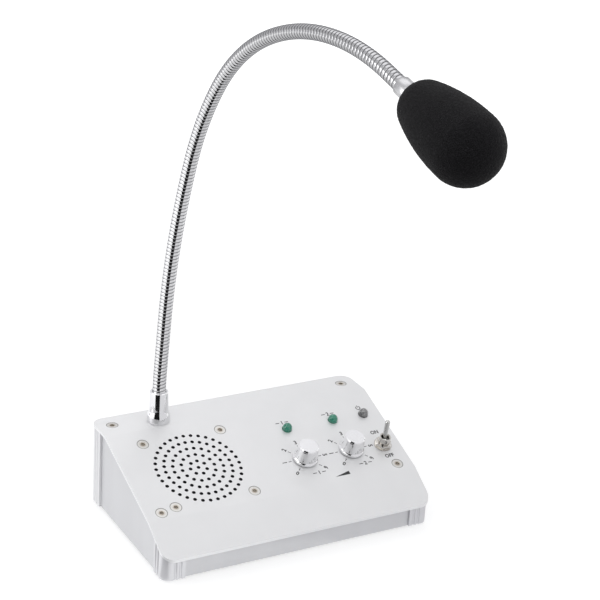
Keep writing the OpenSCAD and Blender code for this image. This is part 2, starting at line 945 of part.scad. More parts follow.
// the straight line across an arc of length l that turns by t degrees
function chord(l, t) = abs(t) < 0.01 ? l : l * sin(t / 2) / (t * PI / 360);
function along(i, s) =
  let (
    u = min(arc_l(i), max(0, s - straight_in(i))),
    rest = max(0, s - straight_in(i) - arc_l(i)),
    a = turn_before(i)
  )
  stretch_start(i)
    + min(s, straight_in(i)) * heading(a)
    + chord(u, turned(i, s)) * heading(a + turned(i, s) / 2)
    + rest * heading(lean(i, s));
function stretch_start(i) =
  i == 0 ? [0, ferrule_h - ferrule_grip] : along(i - 1, stretch_l);

out = [cos(neck_az), sin(neck_az), 0];
across = [-sin(neck_az), cos(neck_az), 0];
up = [0, 0, 1];
function in_space(p) = [neck_x, neck_y, back_h] + p[0] * out + p[1] * up;

// one ring of points round the curve of stretch i, at distance s and radius r
function ring_points(i, s, r) =
  let (
    c = in_space(along(i, s)),
    a = lean(i, s),
    side = cos(a) * out - sin(a) * up
  )
  [
    for (k = [0 : neck_sides - 1])
      let (q = (k + 0.5) * 360 / neck_sides)
      c + r * (cos(q) * side + sin(q) * across)
  ];

// [distance, radius] round the section of stretch i: ribs outside, then the ball end, the bore
// and the socket that takes the ball of the stretch before
function stretch_section(i) =
  let (
    crest = neck_d / 2,
    groove = crest - rib_depth,
    bore = neck_bore_d / 2,
    full_l = stretch_l + (i == last ? collar_grip : 0),
    s0 = i == 0 ? 0 : hinge_gap,
    s1 = i == last ? full_l : stretch_l - hinge_gap,
    ribs = floor((s1 - s0) / rib_pitch),
    p = (s1 - s0) / ribs,
    ball_angles = [-asin(hinge_gap / ball_r), 0, 25, 48],
    ball_end = stretch_l + ball_r * sin(ball_angles[3]),
    bore_end = i == last ? full_l : ball_end,
    bore_start = i == 0 ? 0 : sqrt(socket_r * socket_r - bore * bore),
    bore_steps = 6
  )
  concat(
    [for (k = [0 : ribs - 1]) each [[s0 + k * p, groove], [s0 + (k + 0.5) * p, crest]]],
    [[s1, groove]],
    i == last ? [] : [for (b = ball_angles) [stretch_l + ball_r * sin(b), ball_r * cos(b)]],
    [for (k = [0 : bore_steps]) [bore_end + (bore_start - bore_end) * k / bore_steps, bore]],
    i == 0 ? [] : [
      for (h = [1.7, hinge_gap]) [h, sqrt(socket_r * socket_r - h * h)]
    ]
  );

module gooseneck_stretch(i) {
  section = stretch_section(i);
  rings = len(section);
  points = [for (p = section) each ring_points(i, p[0], p[1])];
  faces = [
    for (j = [0 : rings - 1])
      for (k = [0 : neck_sides - 1])
        let (
          a = j * neck_sides + k,
          b = j * neck_sides + (k + 1) % neck_sides,
          c = ((j + 1) % rings) * neck_sides + k,
          d = ((j + 1) % rings) * neck_sides + (k + 1) % neck_sides
        )
        each [[a, c, d], [a, d, b]]
  ];
  color(chrome)
    polyhedron(points = points, faces = faces);
}

module gooseneck_socket() {
  foot_r = ferrule_foot_d / 2;
  top_r = ferrule_top_d / 2;
  bore_r = neck_d / 2 + hole_gap;
  color(chrome)
    on_strip(neck_x, neck_y)
      rotate_extrude()
        polygon([
          [neck_bore_d / 2, -stud_l], [stud_d / 2 - 0.3, -stud_l], [stud_d / 2, 0.3 - stud_l],
          [stud_d / 2, 0], [foot_r - 0.4, 0], [foot_r, 0.4], [foot_r, 4.2], [foot_r - 0.2, 4.9],
          [top_r + 0.5, 6.4], [top_r + 0.3, 7], [top_r, ferrule_h - 0.3],
          [top_r - 0.2, ferrule_h], [bore_r, ferrule_h], [bore_r, ferrule_h - ferrule_grip],
          [neck_bore_d / 2, ferrule_h - ferrule_grip]
        ]);
}

module gooseneck_washer() {
  color(nickel)
    on_strip(neck_x, neck_y, -panel_t - gooseneck_washer_t)
      ring(13, stud_d + 2 * hole_gap, gooseneck_washer_t);
}

module gooseneck_nut() {
  color(nickel)
    on_strip(neck_x, neck_y, -panel_t - gooseneck_washer_t - gooseneck_nut_h)
      hex_nut(12, gooseneck_nut_h, stud_d + 2 * hole_gap);
}

// ==== microphone, along +Z from the end of the tube's arch

module on_microphone() {
  translate(in_space(along(last, stretch_l)))
    rotate([0, lean(last, stretch_l), neck_az])
      children();
}

module microphone_sleeve() {
  r = sleeve_d / 2;
  grip_r = neck_d / 2 + hole_gap;
  color(chrome)
    on_microphone()
      rotate_extrude()
        polygon([
          [grip_r, 0], [r - 0.3, 0], [r, 0.3], [r, sleeve_l - 4], [r - 0.6, sleeve_l - 4],
          [r - 0.6, sleeve_l], [2.4, sleeve_l], [2.4, collar_grip], [grip_r, collar_grip]
        ]);
}

module capsule_housing() {
  r = housing_d / 2;
  neck_r = sleeve_d / 2 - 0.6;
  slots = 8;
  slot_l = 5;
  color(dark)
    on_microphone()
      translate([0, 0, sleeve_l - 4])
        difference() {
          cylinder(h = housing_l + 4, r = r);
          translate([0, 0, -1])
            cylinder(h = 5 + eps, r = neck_r + slot_gap);
          translate([0, 0, 5])
            cylinder(h = housing_l - 2, r = r - 0.7);
          translate([0, 0, 3])
            cylinder(h = 4, r = 1.5);
          for (k = [0 : slots - 1])
            rotate(k * 360 / slots)
              translate([r - 1.2, -0.6, housing_l - slot_l - 1])
                cube([2, 1.2, slot_l]);
          for (k = [0 : 5])
            rotate(k * 60)
              translate([2.8, 0, housing_l + 1])
                cylinder(h = 5, d = 1.2, $fn = 20);
        }
}

module microphone_capsule() {
  color(nickel)
    on_microphone()
      translate([0, 0, sleeve_l + housing_l - 9])
        cylinder(h = 6.5, r = housing_d / 2 - 0.75);
}

// two balls joined by the cone that touches both, round the sleeve and the capsule housing
module foam_windscreen() {
  taper = asin((foam_front_r - foam_rear_r) / (foam_front_l - foam_rear_l));
  fit = 0.1;
  color(dark)
    on_microphone()
      rotate_extrude()
        difference() {
          intersection() {
            union() {
              translate([0, foam_rear_l])
                circle(foam_rear_r);
              translate([0, foam_front_l])
                circle(foam_front_r);
              polygon([
                [0, foam_rear_l],
                [foam_rear_r * cos(taper), foam_rear_l - foam_rear_r * sin(taper)],
                [foam_front_r * cos(taper), foam_front_l - foam_front_r * sin(taper)],
                [0, foam_front_l]
              ]);
            }
            square([100, 200]);
          }
          square([sleeve_d / 2 + fit, sleeve_l - 4 - fit]);
          translate([0, sleeve_l - 4 - fit])
            square([housing_d / 2 + fit, housing_l + 4 + 2 * fit]);
        }
}

// ==== rear jacks

module on_rear(x) {
  translate([x, sheet_back_y, jack_z])
    rotate([-90, 0, 0])
      children();
}

// round power socket with its centre pin
module power_jack() {
  depth = 13;
  color(dark)
    on_rear(power_jack_x)
      difference() {
        union() {
          translate([0, 0, -sheet_t - depth / 2])
            cube([12, 11, depth], center = true);
          translate([0, 0, -sheet_t - eps])
            cylinder(h = sheet_t + jack_thread_l, d = 8);
        }
        difference() {
          translate([0, 0, jack_thread_l - 9.5])
            cylinder(h = 20, d = 6.2);
          translate([0, 0, jack_thread_l - 10])
            cylinder(h = 9.5, d = 2.1);
        }
      }
}

module power_jack_nut() {
  color(nickel)
    on_rear(power_jack_x)
      hex_nut(10, jack_nut_h, 8 + 2 * hole_gap);
}

module unit_jack() {
  depth = unit_jack_bore_l;
  color(dark)
    on_rear(unit_jack_x)
      difference() {
        union() {
          translate([0, 0, -sheet_t - depth / 2])
            cube([9, 9, depth], center = true);
          translate([0, 0, -sheet_t - eps])
            cylinder(h = sheet_t + jack_thread_l, d = 6);
        }
        translate([0, 0, jack_thread_l - unit_jack_bore_l])
          cylinder(h = 30, d = unit_jack_bore_d);
      }
}

module unit_jack_nut() {
  color(nickel)
    on_rear(unit_jack_x)
      ring(9, 6 + 2 * hole_gap, jack_nut_h);
}

// ==== the object

top_panel();
corner_post(-1, false);  // front_left_post
corner_post(1, false);  // front_right_post
corner_post(-1, true);  // rear_left_post
corner_post(1, true);  // rear_right_post
front_sheet();
rear_sheet();
side_sheet(-1);  // left_sheet
side_sheet(1);  // right_sheet
bottom_plate();
anti_slip_pad();
corner_screws();
speaker_screws();
panel_nuts();
bottom_screws();
dust_cloth();
speaker_basket();
speaker_cone();
speaker_magnet();
circuit_board();
board_standoffs();
board_screws();
capacitors();
heat_sink();
lamp(lamp_xs[0], [0.16, 0.50, 0.37]);  // inside_lamp
lamp(lamp_xs[1], [0.16, 0.50, 0.37]);  // outside_lamp
lamp(lamp_xs[2], [0.55, 0.55, 0.56]);  // power_lamp
lamp_clips();
potentiometer(inside_x);  // inside_potentiometer
potentiometer(outside_x);  // outside_potentiometer
potentiometer_nuts();
volume_shaft(inside_x);  // inside_volume_shaft
volume_shaft(outside_x);  // outside_volume_shaft
volume_knob(inside_x);  // inside_volume_knob
volume_knob(outside_x);  // outside_volume_knob
switch_body();
switch_washer();
switch_nut();
switch_lever();
gooseneck_socket();
gooseneck_washer();
gooseneck_nut();
gooseneck_stretch(0);  // gooseneck_stretch_1
gooseneck_stretch(1);  // gooseneck_stretch_2
gooseneck_stretch(2);  // gooseneck_stretch_3
gooseneck_stretch(3);  // gooseneck_stretch_4
gooseneck_stretch(4);  // gooseneck_stretch_5
gooseneck_stretch(5);  // gooseneck_stretch_6
gooseneck_stretch(6);  // gooseneck_stretch_7
microphone_sleeve();
capsule_housing();
microphone_capsule();
foam_windscreen();
power_jack();
power_jack_nut();
unit_jack();
unit_jack_nut();
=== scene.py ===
"""Teller window intercom: surfaces, printing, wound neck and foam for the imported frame."""
import math

import bmesh
import bpy
import numpy as np
from mathutils import Euler, Matrix, Vector


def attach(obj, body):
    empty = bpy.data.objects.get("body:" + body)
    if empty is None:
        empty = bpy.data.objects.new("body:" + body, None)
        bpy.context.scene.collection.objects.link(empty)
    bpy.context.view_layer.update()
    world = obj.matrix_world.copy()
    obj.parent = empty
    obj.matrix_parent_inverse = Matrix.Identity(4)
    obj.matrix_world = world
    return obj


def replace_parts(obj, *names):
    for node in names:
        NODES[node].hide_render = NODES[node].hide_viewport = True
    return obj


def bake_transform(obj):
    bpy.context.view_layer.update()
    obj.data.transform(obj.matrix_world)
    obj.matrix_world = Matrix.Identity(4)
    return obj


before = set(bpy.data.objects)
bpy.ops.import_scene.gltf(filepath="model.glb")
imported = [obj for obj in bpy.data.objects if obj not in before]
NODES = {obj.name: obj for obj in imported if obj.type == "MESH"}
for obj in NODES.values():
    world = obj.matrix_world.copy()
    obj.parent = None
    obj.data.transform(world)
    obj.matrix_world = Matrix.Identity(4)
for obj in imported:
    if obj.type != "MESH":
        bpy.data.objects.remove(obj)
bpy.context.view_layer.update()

bl_info = {
    "name": "Teller window intercom",
    "version": (1, 0, 0),
    "blender": (4, 5, 0),
    "location": "View3D > Sidebar > Intercom",
    "description": "Finishes a counter intercom with a gooseneck microphone",
    "category": "Object",
}

MM = 0.001

# the housing as the CAD part has it: the folded panel's three runs and their slopes
PANEL_W, BACK_H = 155 * MM, 46.5 * MM
FLAT_L, SLOPE_L, LIP_L = 20.8 * MM, 59.8 * MM, 22.8 * MM
SLOPE, LIP = math.radians(20), math.radians(32)
PANEL_D = FLAT_L + SLOPE_L * math.cos(SLOPE) + LIP_L * math.cos(LIP)
BACK_Y = PANEL_D / 2
BEND_Y = BACK_Y - FLAT_L
MAIN_NORMAL = Vector((0, -math.sin(SLOPE), math.cos(SLOPE)))
# from the panel's outer edges: the posts' round corners, and the band of painted highlight on its
# edge faces
POST_IN, HIGHLIGHT_BAND = 8.6 * MM, 6.6 * MM

# what sits on the main slope: X across it, S down it from the back bend
INSIDE_X, OUTSIDE_X, SWITCH_X = 20.2 * MM, 48.2 * MM, 67.3 * MM
LAMP_S, KNOB_S, SWITCH_S = 17.5 * MM, 39.8 * MM, 41 * MM
GRILLE_X, GRILLE_S, GRILLE_R = -38.1 * MM, 31.5 * MM, 24.5 * MM
SPEAKER_SCREWS = 22.15 * MM  # from the grille's centre, both ways
SCREW_IN, SCREW_S, SCREW_BACK = 8.7 * MM, 55.4 * MM, 9.4 * MM  # corner screws
HEAD_R = 3.2 * MM
SIDES = (("inside", INSIDE_X), ("outside", OUTSIDE_X))

# the dials: angle of the first mark, degrees from mark to mark, number of marks
DIAL_FIRST, DIAL_STEP, DIAL_MARKS = 225, 45, 7
TICK_FROM, TICK_TO, TICK_W, DIGITS_R = 8.0 * MM, 9.7 * MM, 0.36 * MM, 12.0 * MM
WORD_H, MARK_W = 2.5 * MM, 0.45 * MM
# where the painted shade in each knob's pointer notch lies: beyond a reach, above a height, within
# a half width
NOTCH_OUT, NOTCH_UP, NOTCH_HALF = 4.77 * MM, 8.9 * MM, 1.12 * MM

# the neck: seven stretches of one length, each turning in the same upright plane
NECK_BODIES = ["base", "neck_2", "neck_3", "neck_4", "neck_5", "neck_6", "microphone"]
NECK_TURNS = [5, 7, 6, 17, 28, 24, 21]
LAST = len(NECK_BODIES) - 1
STRETCH = 48 * MM
FERRULE_H, FERRULE_GRIP, FIRST_ARC, LAST_STRAIGHT = 17.5 * MM, 8.5 * MM, 12 * MM, 7 * MM
NECK_FOOT = Vector((-44.4 * MM, BACK_Y - 13.6 * MM, BACK_H))
NECK_HEADING = math.radians(-83)
NECK_OUT = Vector((math.cos(NECK_HEADING), math.sin(NECK_HEADING), 0))
NECK_ACROSS = Vector((0, 0, 1)).cross(NECK_OUT)

# turned sections: radius and height in millimetres
FERRULE = [
    (1.4, -8), (3.7, -8), (4.0, -7.7), (4.0, 0), (5.7, 0), (6.0, 0.3), (6.05, 1.5), (6.05, 3.4),
    (5.98, 4.0), (5.75, 4.7), (5.4, 5.4), (5.18, 6.0), (5.1, 6.6), (5.06, 7.4), (4.9, 16.9),
    (4.82, 17.2), (4.6, 17.4), (3.65, 17.4), (3.6, 9), (1.4, 9), (1.4, -8)]
SLEEVE = [
    (3.6, 3.1), (4.0, 2.9), (4.3, 3.2), (4.3, 16), (3.7, 16), (3.7, 20), (2.4, 20), (2.4, 5),
    (3.6, 5), (3.6, 3.1)]
LAMP_CUP = [
    (0, 1.1), (0.45, 1.1), (0.95, 1.9), (1.25, 1.9), (1.3, 0.6), (2.1, 0.4), (2.1, 0.1), (0, 0.1)]
LAMP_LEAD = [(0, 0.1), (0.62, 0.1), (0.62, 1.7), (0.4, 2.0), (0, 2.0)]

# the camera as fitted to the photograph
CAMERA_PLACE = (-0.39892, -0.72107, 0.46688)
CAMERA_TURN = (1.175182, -0.059004, -0.498408)
CAMERA_LENS, CAMERA_SENSOR = 106.02, 36

# soft lamps: name, place, aim, size and power
LAMPS = (
    ("key", (-0.75, -0.55, 1.1), (0, 0, 0.08), 0.9, 3.0),
    ("left", (-1.25, 0.25, 0.40), (0, 0, 0.05), 0.8, 4.6),
    ("fill", (0.55, -1.10, 0.6), (0, 0, 0.05), 0.9, 3.8),
    ("top", (0.1, 0.6, 1.3), (0, 0, 0.1), 1.1, 3.2))

# boards round a centre: name, centre, reach, span in degrees, heights, shade; they are
# the dark studio in front, the grey one at its right, and a grey one on the floor at the
# near post: painted shade, standing in for the shadow there as the post's gloss sees it
POST_CORNER = Vector((POST_IN - PANEL_W / 2, POST_IN - BACK_Y, 0))
FANS = (
    ("board_front", NECK_FOOT, (0.115, 1.6), (-157, -104), (0.002, 1.3), 0.01),
    ("board_right", NECK_FOOT, (0.14, 1.6), (-104, -18), (0.002, 0.8), 0.78),
    ("board_corner", POST_CORNER, (0.012, 0.12), (-185, -120), (0.001, 0.0015), 0.62))

# flat boards behind and above: name, corners, shade
BOARDS = (
    ("board_back", [(-2.2, 1.2, 0.01), (2.2, 1.2, 0.01), (2.2, 1.3, 1.25), (-2.2, 1.3, 1.25)],
     0.86),
    ("board_top", [(-1.5, -0.9, 1.5), (1.5, -0.9, 1.5), (1.5, 1.6, 1.5), (-1.5, 1.6, 1.5)], 0.9))


class IntercomSizes(bpy.types.PropertyGroup):
    """Sizes and strengths that the pieces are made from"""

    neck_radius: bpy.props.FloatProperty(
        name="Neck radius", description="Radius over the neck's ridges",
        default=3.5 * MM, min=2 * MM, max=5 * MM, unit="LENGTH")
    ridge_pitch: bpy.props.FloatProperty(
        name="Ridge pitch", description="Distance from turn to turn of the winding",
        default=2 * MM, min=1 * MM, max=4 * MM, unit="LENGTH")
    ridge_depth: bpy.props.FloatProperty(
        name="Ridge depth", description="Depth of the groove between two turns",
        default=0.2 * MM, min=0, max=1 * MM, unit="LENGTH")
    foam_pore: bpy.props.FloatProperty(
        name="Foam pore", description="How far the foam's surface rises and falls",
        default=0.22 * MM, min=0, max=1 * MM, unit="LENGTH")
    print_lift: bpy.props.FloatProperty(
        name="Print lift", description="How far the printing lies over the panel",
        default=0.02 * MM, min=0.005 * MM, max=0.1 * MM, unit="LENGTH")
    digit_height: bpy.props.FloatProperty(
        name="Digit height", description="Height of the dial's digits",
        default=2.6 * MM, min=1 * MM, max=4 * MM, unit="LENGTH")


# ---------------------------------------------------------------- nodes

def feed(tree, n, inputs):
    """Links a node's inputs to sockets, or gives them values; colours are given as RGB"""
    for name, value in inputs.items():
        sock = n.inputs[name]
        if isinstance(value, bpy.types.NodeSocket):
            tree.links.new(value, sock)
        else:
            sock.default_value = (*value, 1) if sock.type == "RGBA" else value


def node(tree, kind, inputs=None, **props):
    """A new node with its properties and inputs set"""
    n = tree.nodes.new(kind)
    for name, value in props.items():
        setattr(n, name, value)
    feed(tree, n, inputs or {})
    return n


def math_node(tree, operation, a, b=None, clamp=False):
    """A Math node's output"""
    inputs = {0: a} if b is None else {0: a, 1: b}
    return node(tree, "ShaderNodeMath", inputs, operation=operation, use_clamp=clamp).outputs[0]


def vector_node(tree, operation, a, b=None):
    """A Vector Math node's output: a number for a length, a distance or a dot product"""
    inputs = {0: a} if b is None else {0: a, 1: b}
    n = node(tree, "ShaderNodeVectorMath", inputs, operation=operation)
    return n.outputs["Value" if operation in ("LENGTH", "DISTANCE", "DOT_PRODUCT") else "Vector"]


def along_normal(tree, distance):
    """An offset of some distance along a surface's normal, in Geometry Nodes"""
    normal = node(tree, "GeometryNodeInputNormal").outputs[0]
    return node(tree, "ShaderNodeVectorMath", {0: normal, "Scale": distance},
                operation="SCALE").outputs[0]


def mapped(tree, value, low, high, to_low=0.0, to_high=1.0):
    """A value moved from one range to another, and kept within it"""
    return node(tree, "ShaderNodeMapRange", {
        "Value": value, "From Min": low, "From Max": high, "To Min": to_low,
        "To Max": to_high}).outputs[0]


def mixed(tree, factor, a, b, blend_type="MIX"):
    """The mix of two colours"""
    return node(tree, "ShaderNodeMix", {0: factor, 6: a, 7: b}, data_type="RGBA",
                blend_type=blend_type).outputs[2]


def mixed_vectors(tree, factor, a, b):
    """The mix of two vectors"""
    return node(tree, "ShaderNodeMix", {0: factor, 4: a, 5: b}, data_type="VECTOR").outputs[1]


def ramp(tree, value, low, high):
    """From one colour or number to another, over the middle of a noise's range"""
    if isinstance(low, (int, float)):
        return mapped(tree, value, 0.3, 0.7, low, high)
    return mixed(tree, mapped(tree, value, 0.3, 0.7), low, high)


def colour_stops(tree, value, first, middle, last):
    """A colour ramp from 0 to 1 with (place, colour) stops in its middle"""
    n = node(tree, "ShaderNodeValToRGB", {0: value})
    stops = n.color_ramp.elements
    stops[0].color, stops[1].color = (*first, 1), (*last, 1)
    for place, colour in middle:
        stops.new(place).color = (*colour, 1)
    return n.outputs[0]


def object_place(tree):
    """The place on the object, in its own coordinates"""
    return node(tree, "ShaderNodeTexCoord").outputs["Object"]


def new_group(name, kind, inputs, outputs):
    """An empty node group with its sockets, and its input and output nodes"""
    group = bpy.data.node_groups.new(name, kind)
    for in_out, sockets in (("INPUT", inputs), ("OUTPUT", outputs)):
        for label, sort in sockets.items():
            group.interface.new_socket(label, in_out=in_out, socket_type="NodeSocket" + sort)
    return group, group.nodes.new("NodeGroupInput").outputs, group.nodes.new("NodeGroupOutput")


def make_grain(name):
    """Fine grain: a bumped normal, with a broad and a fine mottle from 0 to 1"""
    g, given, out = new_group(
        name, "ShaderNodeTree",
        {"Scale": "Float", "Strength": "Float", "Stretch": "Vector", "Base Normal": "Vector"},
        {"Normal": "Vector", "Mottle": "Float", "Fine": "Float"})
    place = vector_node(g, "MULTIPLY", object_place(g), given["Stretch"])
    fine = node(g, "ShaderNodeTexNoise", {
        "Vector": place, "Scale": given["Scale"], "Detail": 4.0, "Roughness": 0.6}).outputs[0]
    broad = node(g, "ShaderNodeTexNoise", {
        "Vector": place, "Scale": 55.0, "Detail": 3.0}).outputs[0]
    # a base normal of zero means the surface's own
    base = given["Base Normal"]
    is_set = math_node(g, "GREATER_THAN", vector_node(g, "LENGTH", base), 0.1)
    own = node(g, "ShaderNodeNewGeometry").outputs["Normal"]
    bump = node(g, "ShaderNodeBump", {
        "Strength": given["Strength"], "Distance": 0.04 * MM, "Height": fine,
        "Normal": vector_node(g, "NORMALIZE", mixed_vectors(g, is_set, own, base))})
    feed(g, out, {"Normal": bump.outputs[0], "Mottle": broad, "Fine": fine})
    return g


def make_turned(name):
    """Fine turning marks round an axis through a centre: a normal and a mask from 0 to 1"""
    g, given, out = new_group(
        name, "ShaderNodeTree",
        {"Centre": "Vector", "Axis": "Vector", "Pitch": "Float", "Strength": "Float"},
        {"Normal": "Vector", "Mask": "Float"})
    reach = vector_node(g, "SUBTRACT", object_place(g), given["Centre"])
    radius = vector_node(g, "LENGTH", vector_node(g, "CROSS_PRODUCT", reach, given["Axis"]))
    height = vector_node(g, "DOT_PRODUCT", reach, given["Axis"])
    phase = math_node(g, "DIVIDE", math_node(g, "ADD", radius, height), given["Pitch"])
    noise = node(g, "ShaderNodeTexNoise", {"W": phase, "Scale": 1.0, "Detail": 2.0},
                 noise_dimensions="1D").outputs[0]
    bump = node(g, "ShaderNodeBump", {
        "Strength": given["Strength"], "Distance": 0.03 * MM, "Height": noise})
    feed(g, out, {"Normal": bump.outputs[0], "Mask": noise})
    return g


GROUP_MAKERS = {"Fine Grain": make_grain, "Turned Marks": make_turned}


def shared_group(tree, name, inputs):
    """The outputs of a shader group's node; the group is made when first asked for"""
    group = bpy.data.node_groups.get(name) or GROUP_MAKERS[name](name)
    return node(tree, "ShaderNodeGroup", inputs, node_tree=group).outputs


# ---------------------------------------------------------------- materials

def material(name, metallic=0.0, ior=1.5, coat=0.0, sheen=0.0):
    """A new material with its Principled shader; constants go on the shader's own sockets"""
    m = bpy.data.materials.new(name)
    m.use_nodes = True
    tree = m.node_tree
    tree.nodes.clear()
    shader = node(tree, "ShaderNodeBsdfPrincipled", {
        "Metallic": metallic, "IOR": ior, "Coat Weight": coat, "Sheen Weight": sheen})
    node(tree, "ShaderNodeOutputMaterial", {"Surface": shader.outputs[0]})
    return m, tree, shader


def grain_outputs(tree, scale, strength, stretch=(1, 1, 1)):
    """The outputs of a Fine Grain node"""
    return shared_group(tree, "Fine Grain", {
        "Scale": scale, "Strength": strength, "Stretch": stretch})


def grained(name, low, high, rough, metallic=0.0, scale=9000.0, strength=0.3,
            stretch=(1, 1, 1)):
    """A surface with a fine grain, a slight mottle and roughness that follows it"""
    m, tree, shader = material(name, metallic)
    grain = grain_outputs(tree, scale, strength, stretch)
    feed(tree, shader, {
        "Normal": grain["Normal"], "Base Color": ramp(tree, grain["Mottle"], low, high),
        "Roughness": ramp(tree, grain["Fine"], rough - 0.05, rough + 0.05)})
    return m


def turned(name, low, high, rough, centre, axis, pitch=0.12 * MM, strength=0.35):
    """A turned metal surface with marks round its axis"""
    m, tree, shader = material(name, metallic=1.0)
    marks = shared_group(tree, "Turned Marks", {
        "Centre": centre, "Axis": axis, "Pitch": pitch, "Strength": strength})
    feed(tree, shader, {
        "Normal": marks["Normal"], "Base Color": ramp(tree, marks["Mask"], low, high),
        "Roughness": ramp(tree, marks["Mask"], rough - 0.04, rough + 0.04)})
    return m


def recolour(m, change):
    """Puts what change(tree, colour) returns in the place of a material's colour"""
    tree = m.node_tree
    shader = next(n for n in tree.nodes if n.type == "BSDF_PRINCIPLED")
    plain = shader.inputs["Base Color"].links[0].from_socket
    feed(tree, shader, {"Base Color": change(tree, plain)})


def paint(m, *names):
    """Gives CAD nodes a material"""
    for name in names:
        data = NODES[name].data
        data.materials.clear()
        data.materials.append(m)


# ---------------------------------------------------------------- places and meshes

def on_main(x, s, h=0.0):
    """A place on the main slope: x across, s down the slope, h over its face"""
    return Vector((x, BEND_Y - s * math.cos(SLOPE) - h * math.sin(SLOPE),
                   BACK_H - s * math.sin(SLOPE) + h * math.cos(SLOPE)))


def main_frame(x, s, h=0.0):
    """A frame on the main slope: X to the right, Y up the slope, Z out of the face"""
    m = Matrix.Rotation(SLOPE, 4, "X")
    m.translation = on_main(x, s, h)
    return m


def piece(name, mesh, m, body):
    """A mesh object in the scene that rides on a body"""
    obj = bpy.data.objects.new(name, mesh)
    bpy.context.scene.collection.objects.link(obj)
    if m is not None:
        mesh.materials.clear()
        mesh.materials.append(m)
    if body:
        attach(obj, body)
    return obj


def lathe(section, sides, matrix):
    """A mesh turned from (radius, height) points in mm; points on the axis become poles"""
    bm = bmesh.new()
    rings = []
    for r, z in section:
        angles = np.linspace(0, 2 * math.pi, sides, endpoint=False) if r > 0 else [0.0]
        rings.append([bm.verts.new((r * MM * math.cos(a), r * MM * math.sin(a), z * MM))
                      for a in angles])
    for a, b in zip(rings, rings[1:]):
        for k in range(sides):
            j = (k + 1) % sides
            loop = [a[k % len(a)], a[j % len(a)], b[j % len(b)], b[k % len(b)]]
            loop = [v for i, v in enumerate(loop) if v not in loop[:i]]
            if len(loop) > 2:
                bm.faces.new(loop)
    bm.transform(matrix)
    bmesh.ops.recalc_face_normals(bm, faces=bm.faces)
    for f in bm.faces:
        f.smooth = True
    mesh = bpy.data.meshes.new("lathe")
    bm.to_mesh(mesh)
    bm.free()
    return mesh


def evaluated(obj, name):
    """The mesh that an object's modifiers make, and the object itself removed"""
    graph = bpy.context.evaluated_depsgraph_get()
    mesh = bpy.data.meshes.new_from_object(obj.evaluated_get(graph))
    mesh.name = name
    data = obj.data
    bpy.data.objects.remove(obj)
    if isinstance(data, bpy.types.Curve):
        bpy.data.curves.remove(data)
    return mesh


def through_nodes(context, data, group, name, **values):
    """The mesh that a Geometry Nodes group makes of a curve or mesh with these inputs"""
    obj = bpy.data.objects.new(name, data)
    context.scene.collection.objects.link(obj)
    modifier = obj.modifiers.new(group.name, "NODES")
    modifier.node_group = group
    for item in group.interface.items_tree:
        key = item.name.lower().replace(" ", "_")
        if item.item_type == "SOCKET" and item.in_out == "INPUT" and key in values:
            modifier[item.identifier] = values[key]
    context.view_layer.update()
    return evaluated(obj, name)


# ---------------------------------------------------------------- the neck's course

def heading(a):
    """Unit vector in the neck's plane at a lean of a degrees from upright"""
    a = math.radians(a)
    return NECK_OUT * math.sin(a) + Vector((0, 0, math.cos(a)))


def neck_point(i, s):
    """Point and lean at distance s along stretch i"""
    start, lean = NECK_FOOT + Vector((0, 0, FERRULE_H - FERRULE_GRIP)), 0.0
    for k in range(i + 1):
        run = s if k == i else STRETCH
        before = FERRULE_GRIP if k == 0 else 0.0
        after = LAST_STRAIGHT if k == LAST else 0.0
        arc = FIRST_ARC if k == 0 else STRETCH - before - after
        straight = min(run, before)
        bend = min(arc, max(0.0, run - before))
        rest = max(0.0, run - before - arc)
        t = NECK_TURNS[k] * bend / arc
        half = math.radians(t / 2)
        chord = bend if half < 1e-6 else bend * math.sin(half) / half
        start = (start + heading(lean) * straight + heading(lean + t / 2) * chord
                 + heading(lean + t) * rest)
        lean += t
    return start, lean


def course_point(s):
    """Point at distance s along the whole neck"""
    i = min(LAST, int(s / STRETCH - 1e-9))
    return neck_point(i, s - i * STRETCH)[0]


def counted(g, domain_node, label, geometry, value):
    """A Capture Attribute node that keeps a number per point"""
    n = node(g, domain_node, domain="POINT")
    n.capture_items.new("FLOAT", label)
    feed(g, n, {0: geometry, 1: value})
    return n.outputs


def finish_group(g, out, geometry, m):
    """Ends a Geometry Nodes group: instances made real, then the material"""
    whole = node(g, "GeometryNodeRealizeInstances", {"Geometry": geometry}).outputs[0]
    last = node(g, "GeometryNodeSetMaterial", {"Geometry": whole, "Material": m})
    feed(g, out, {"Geometry": last.outputs[0]})
    return g


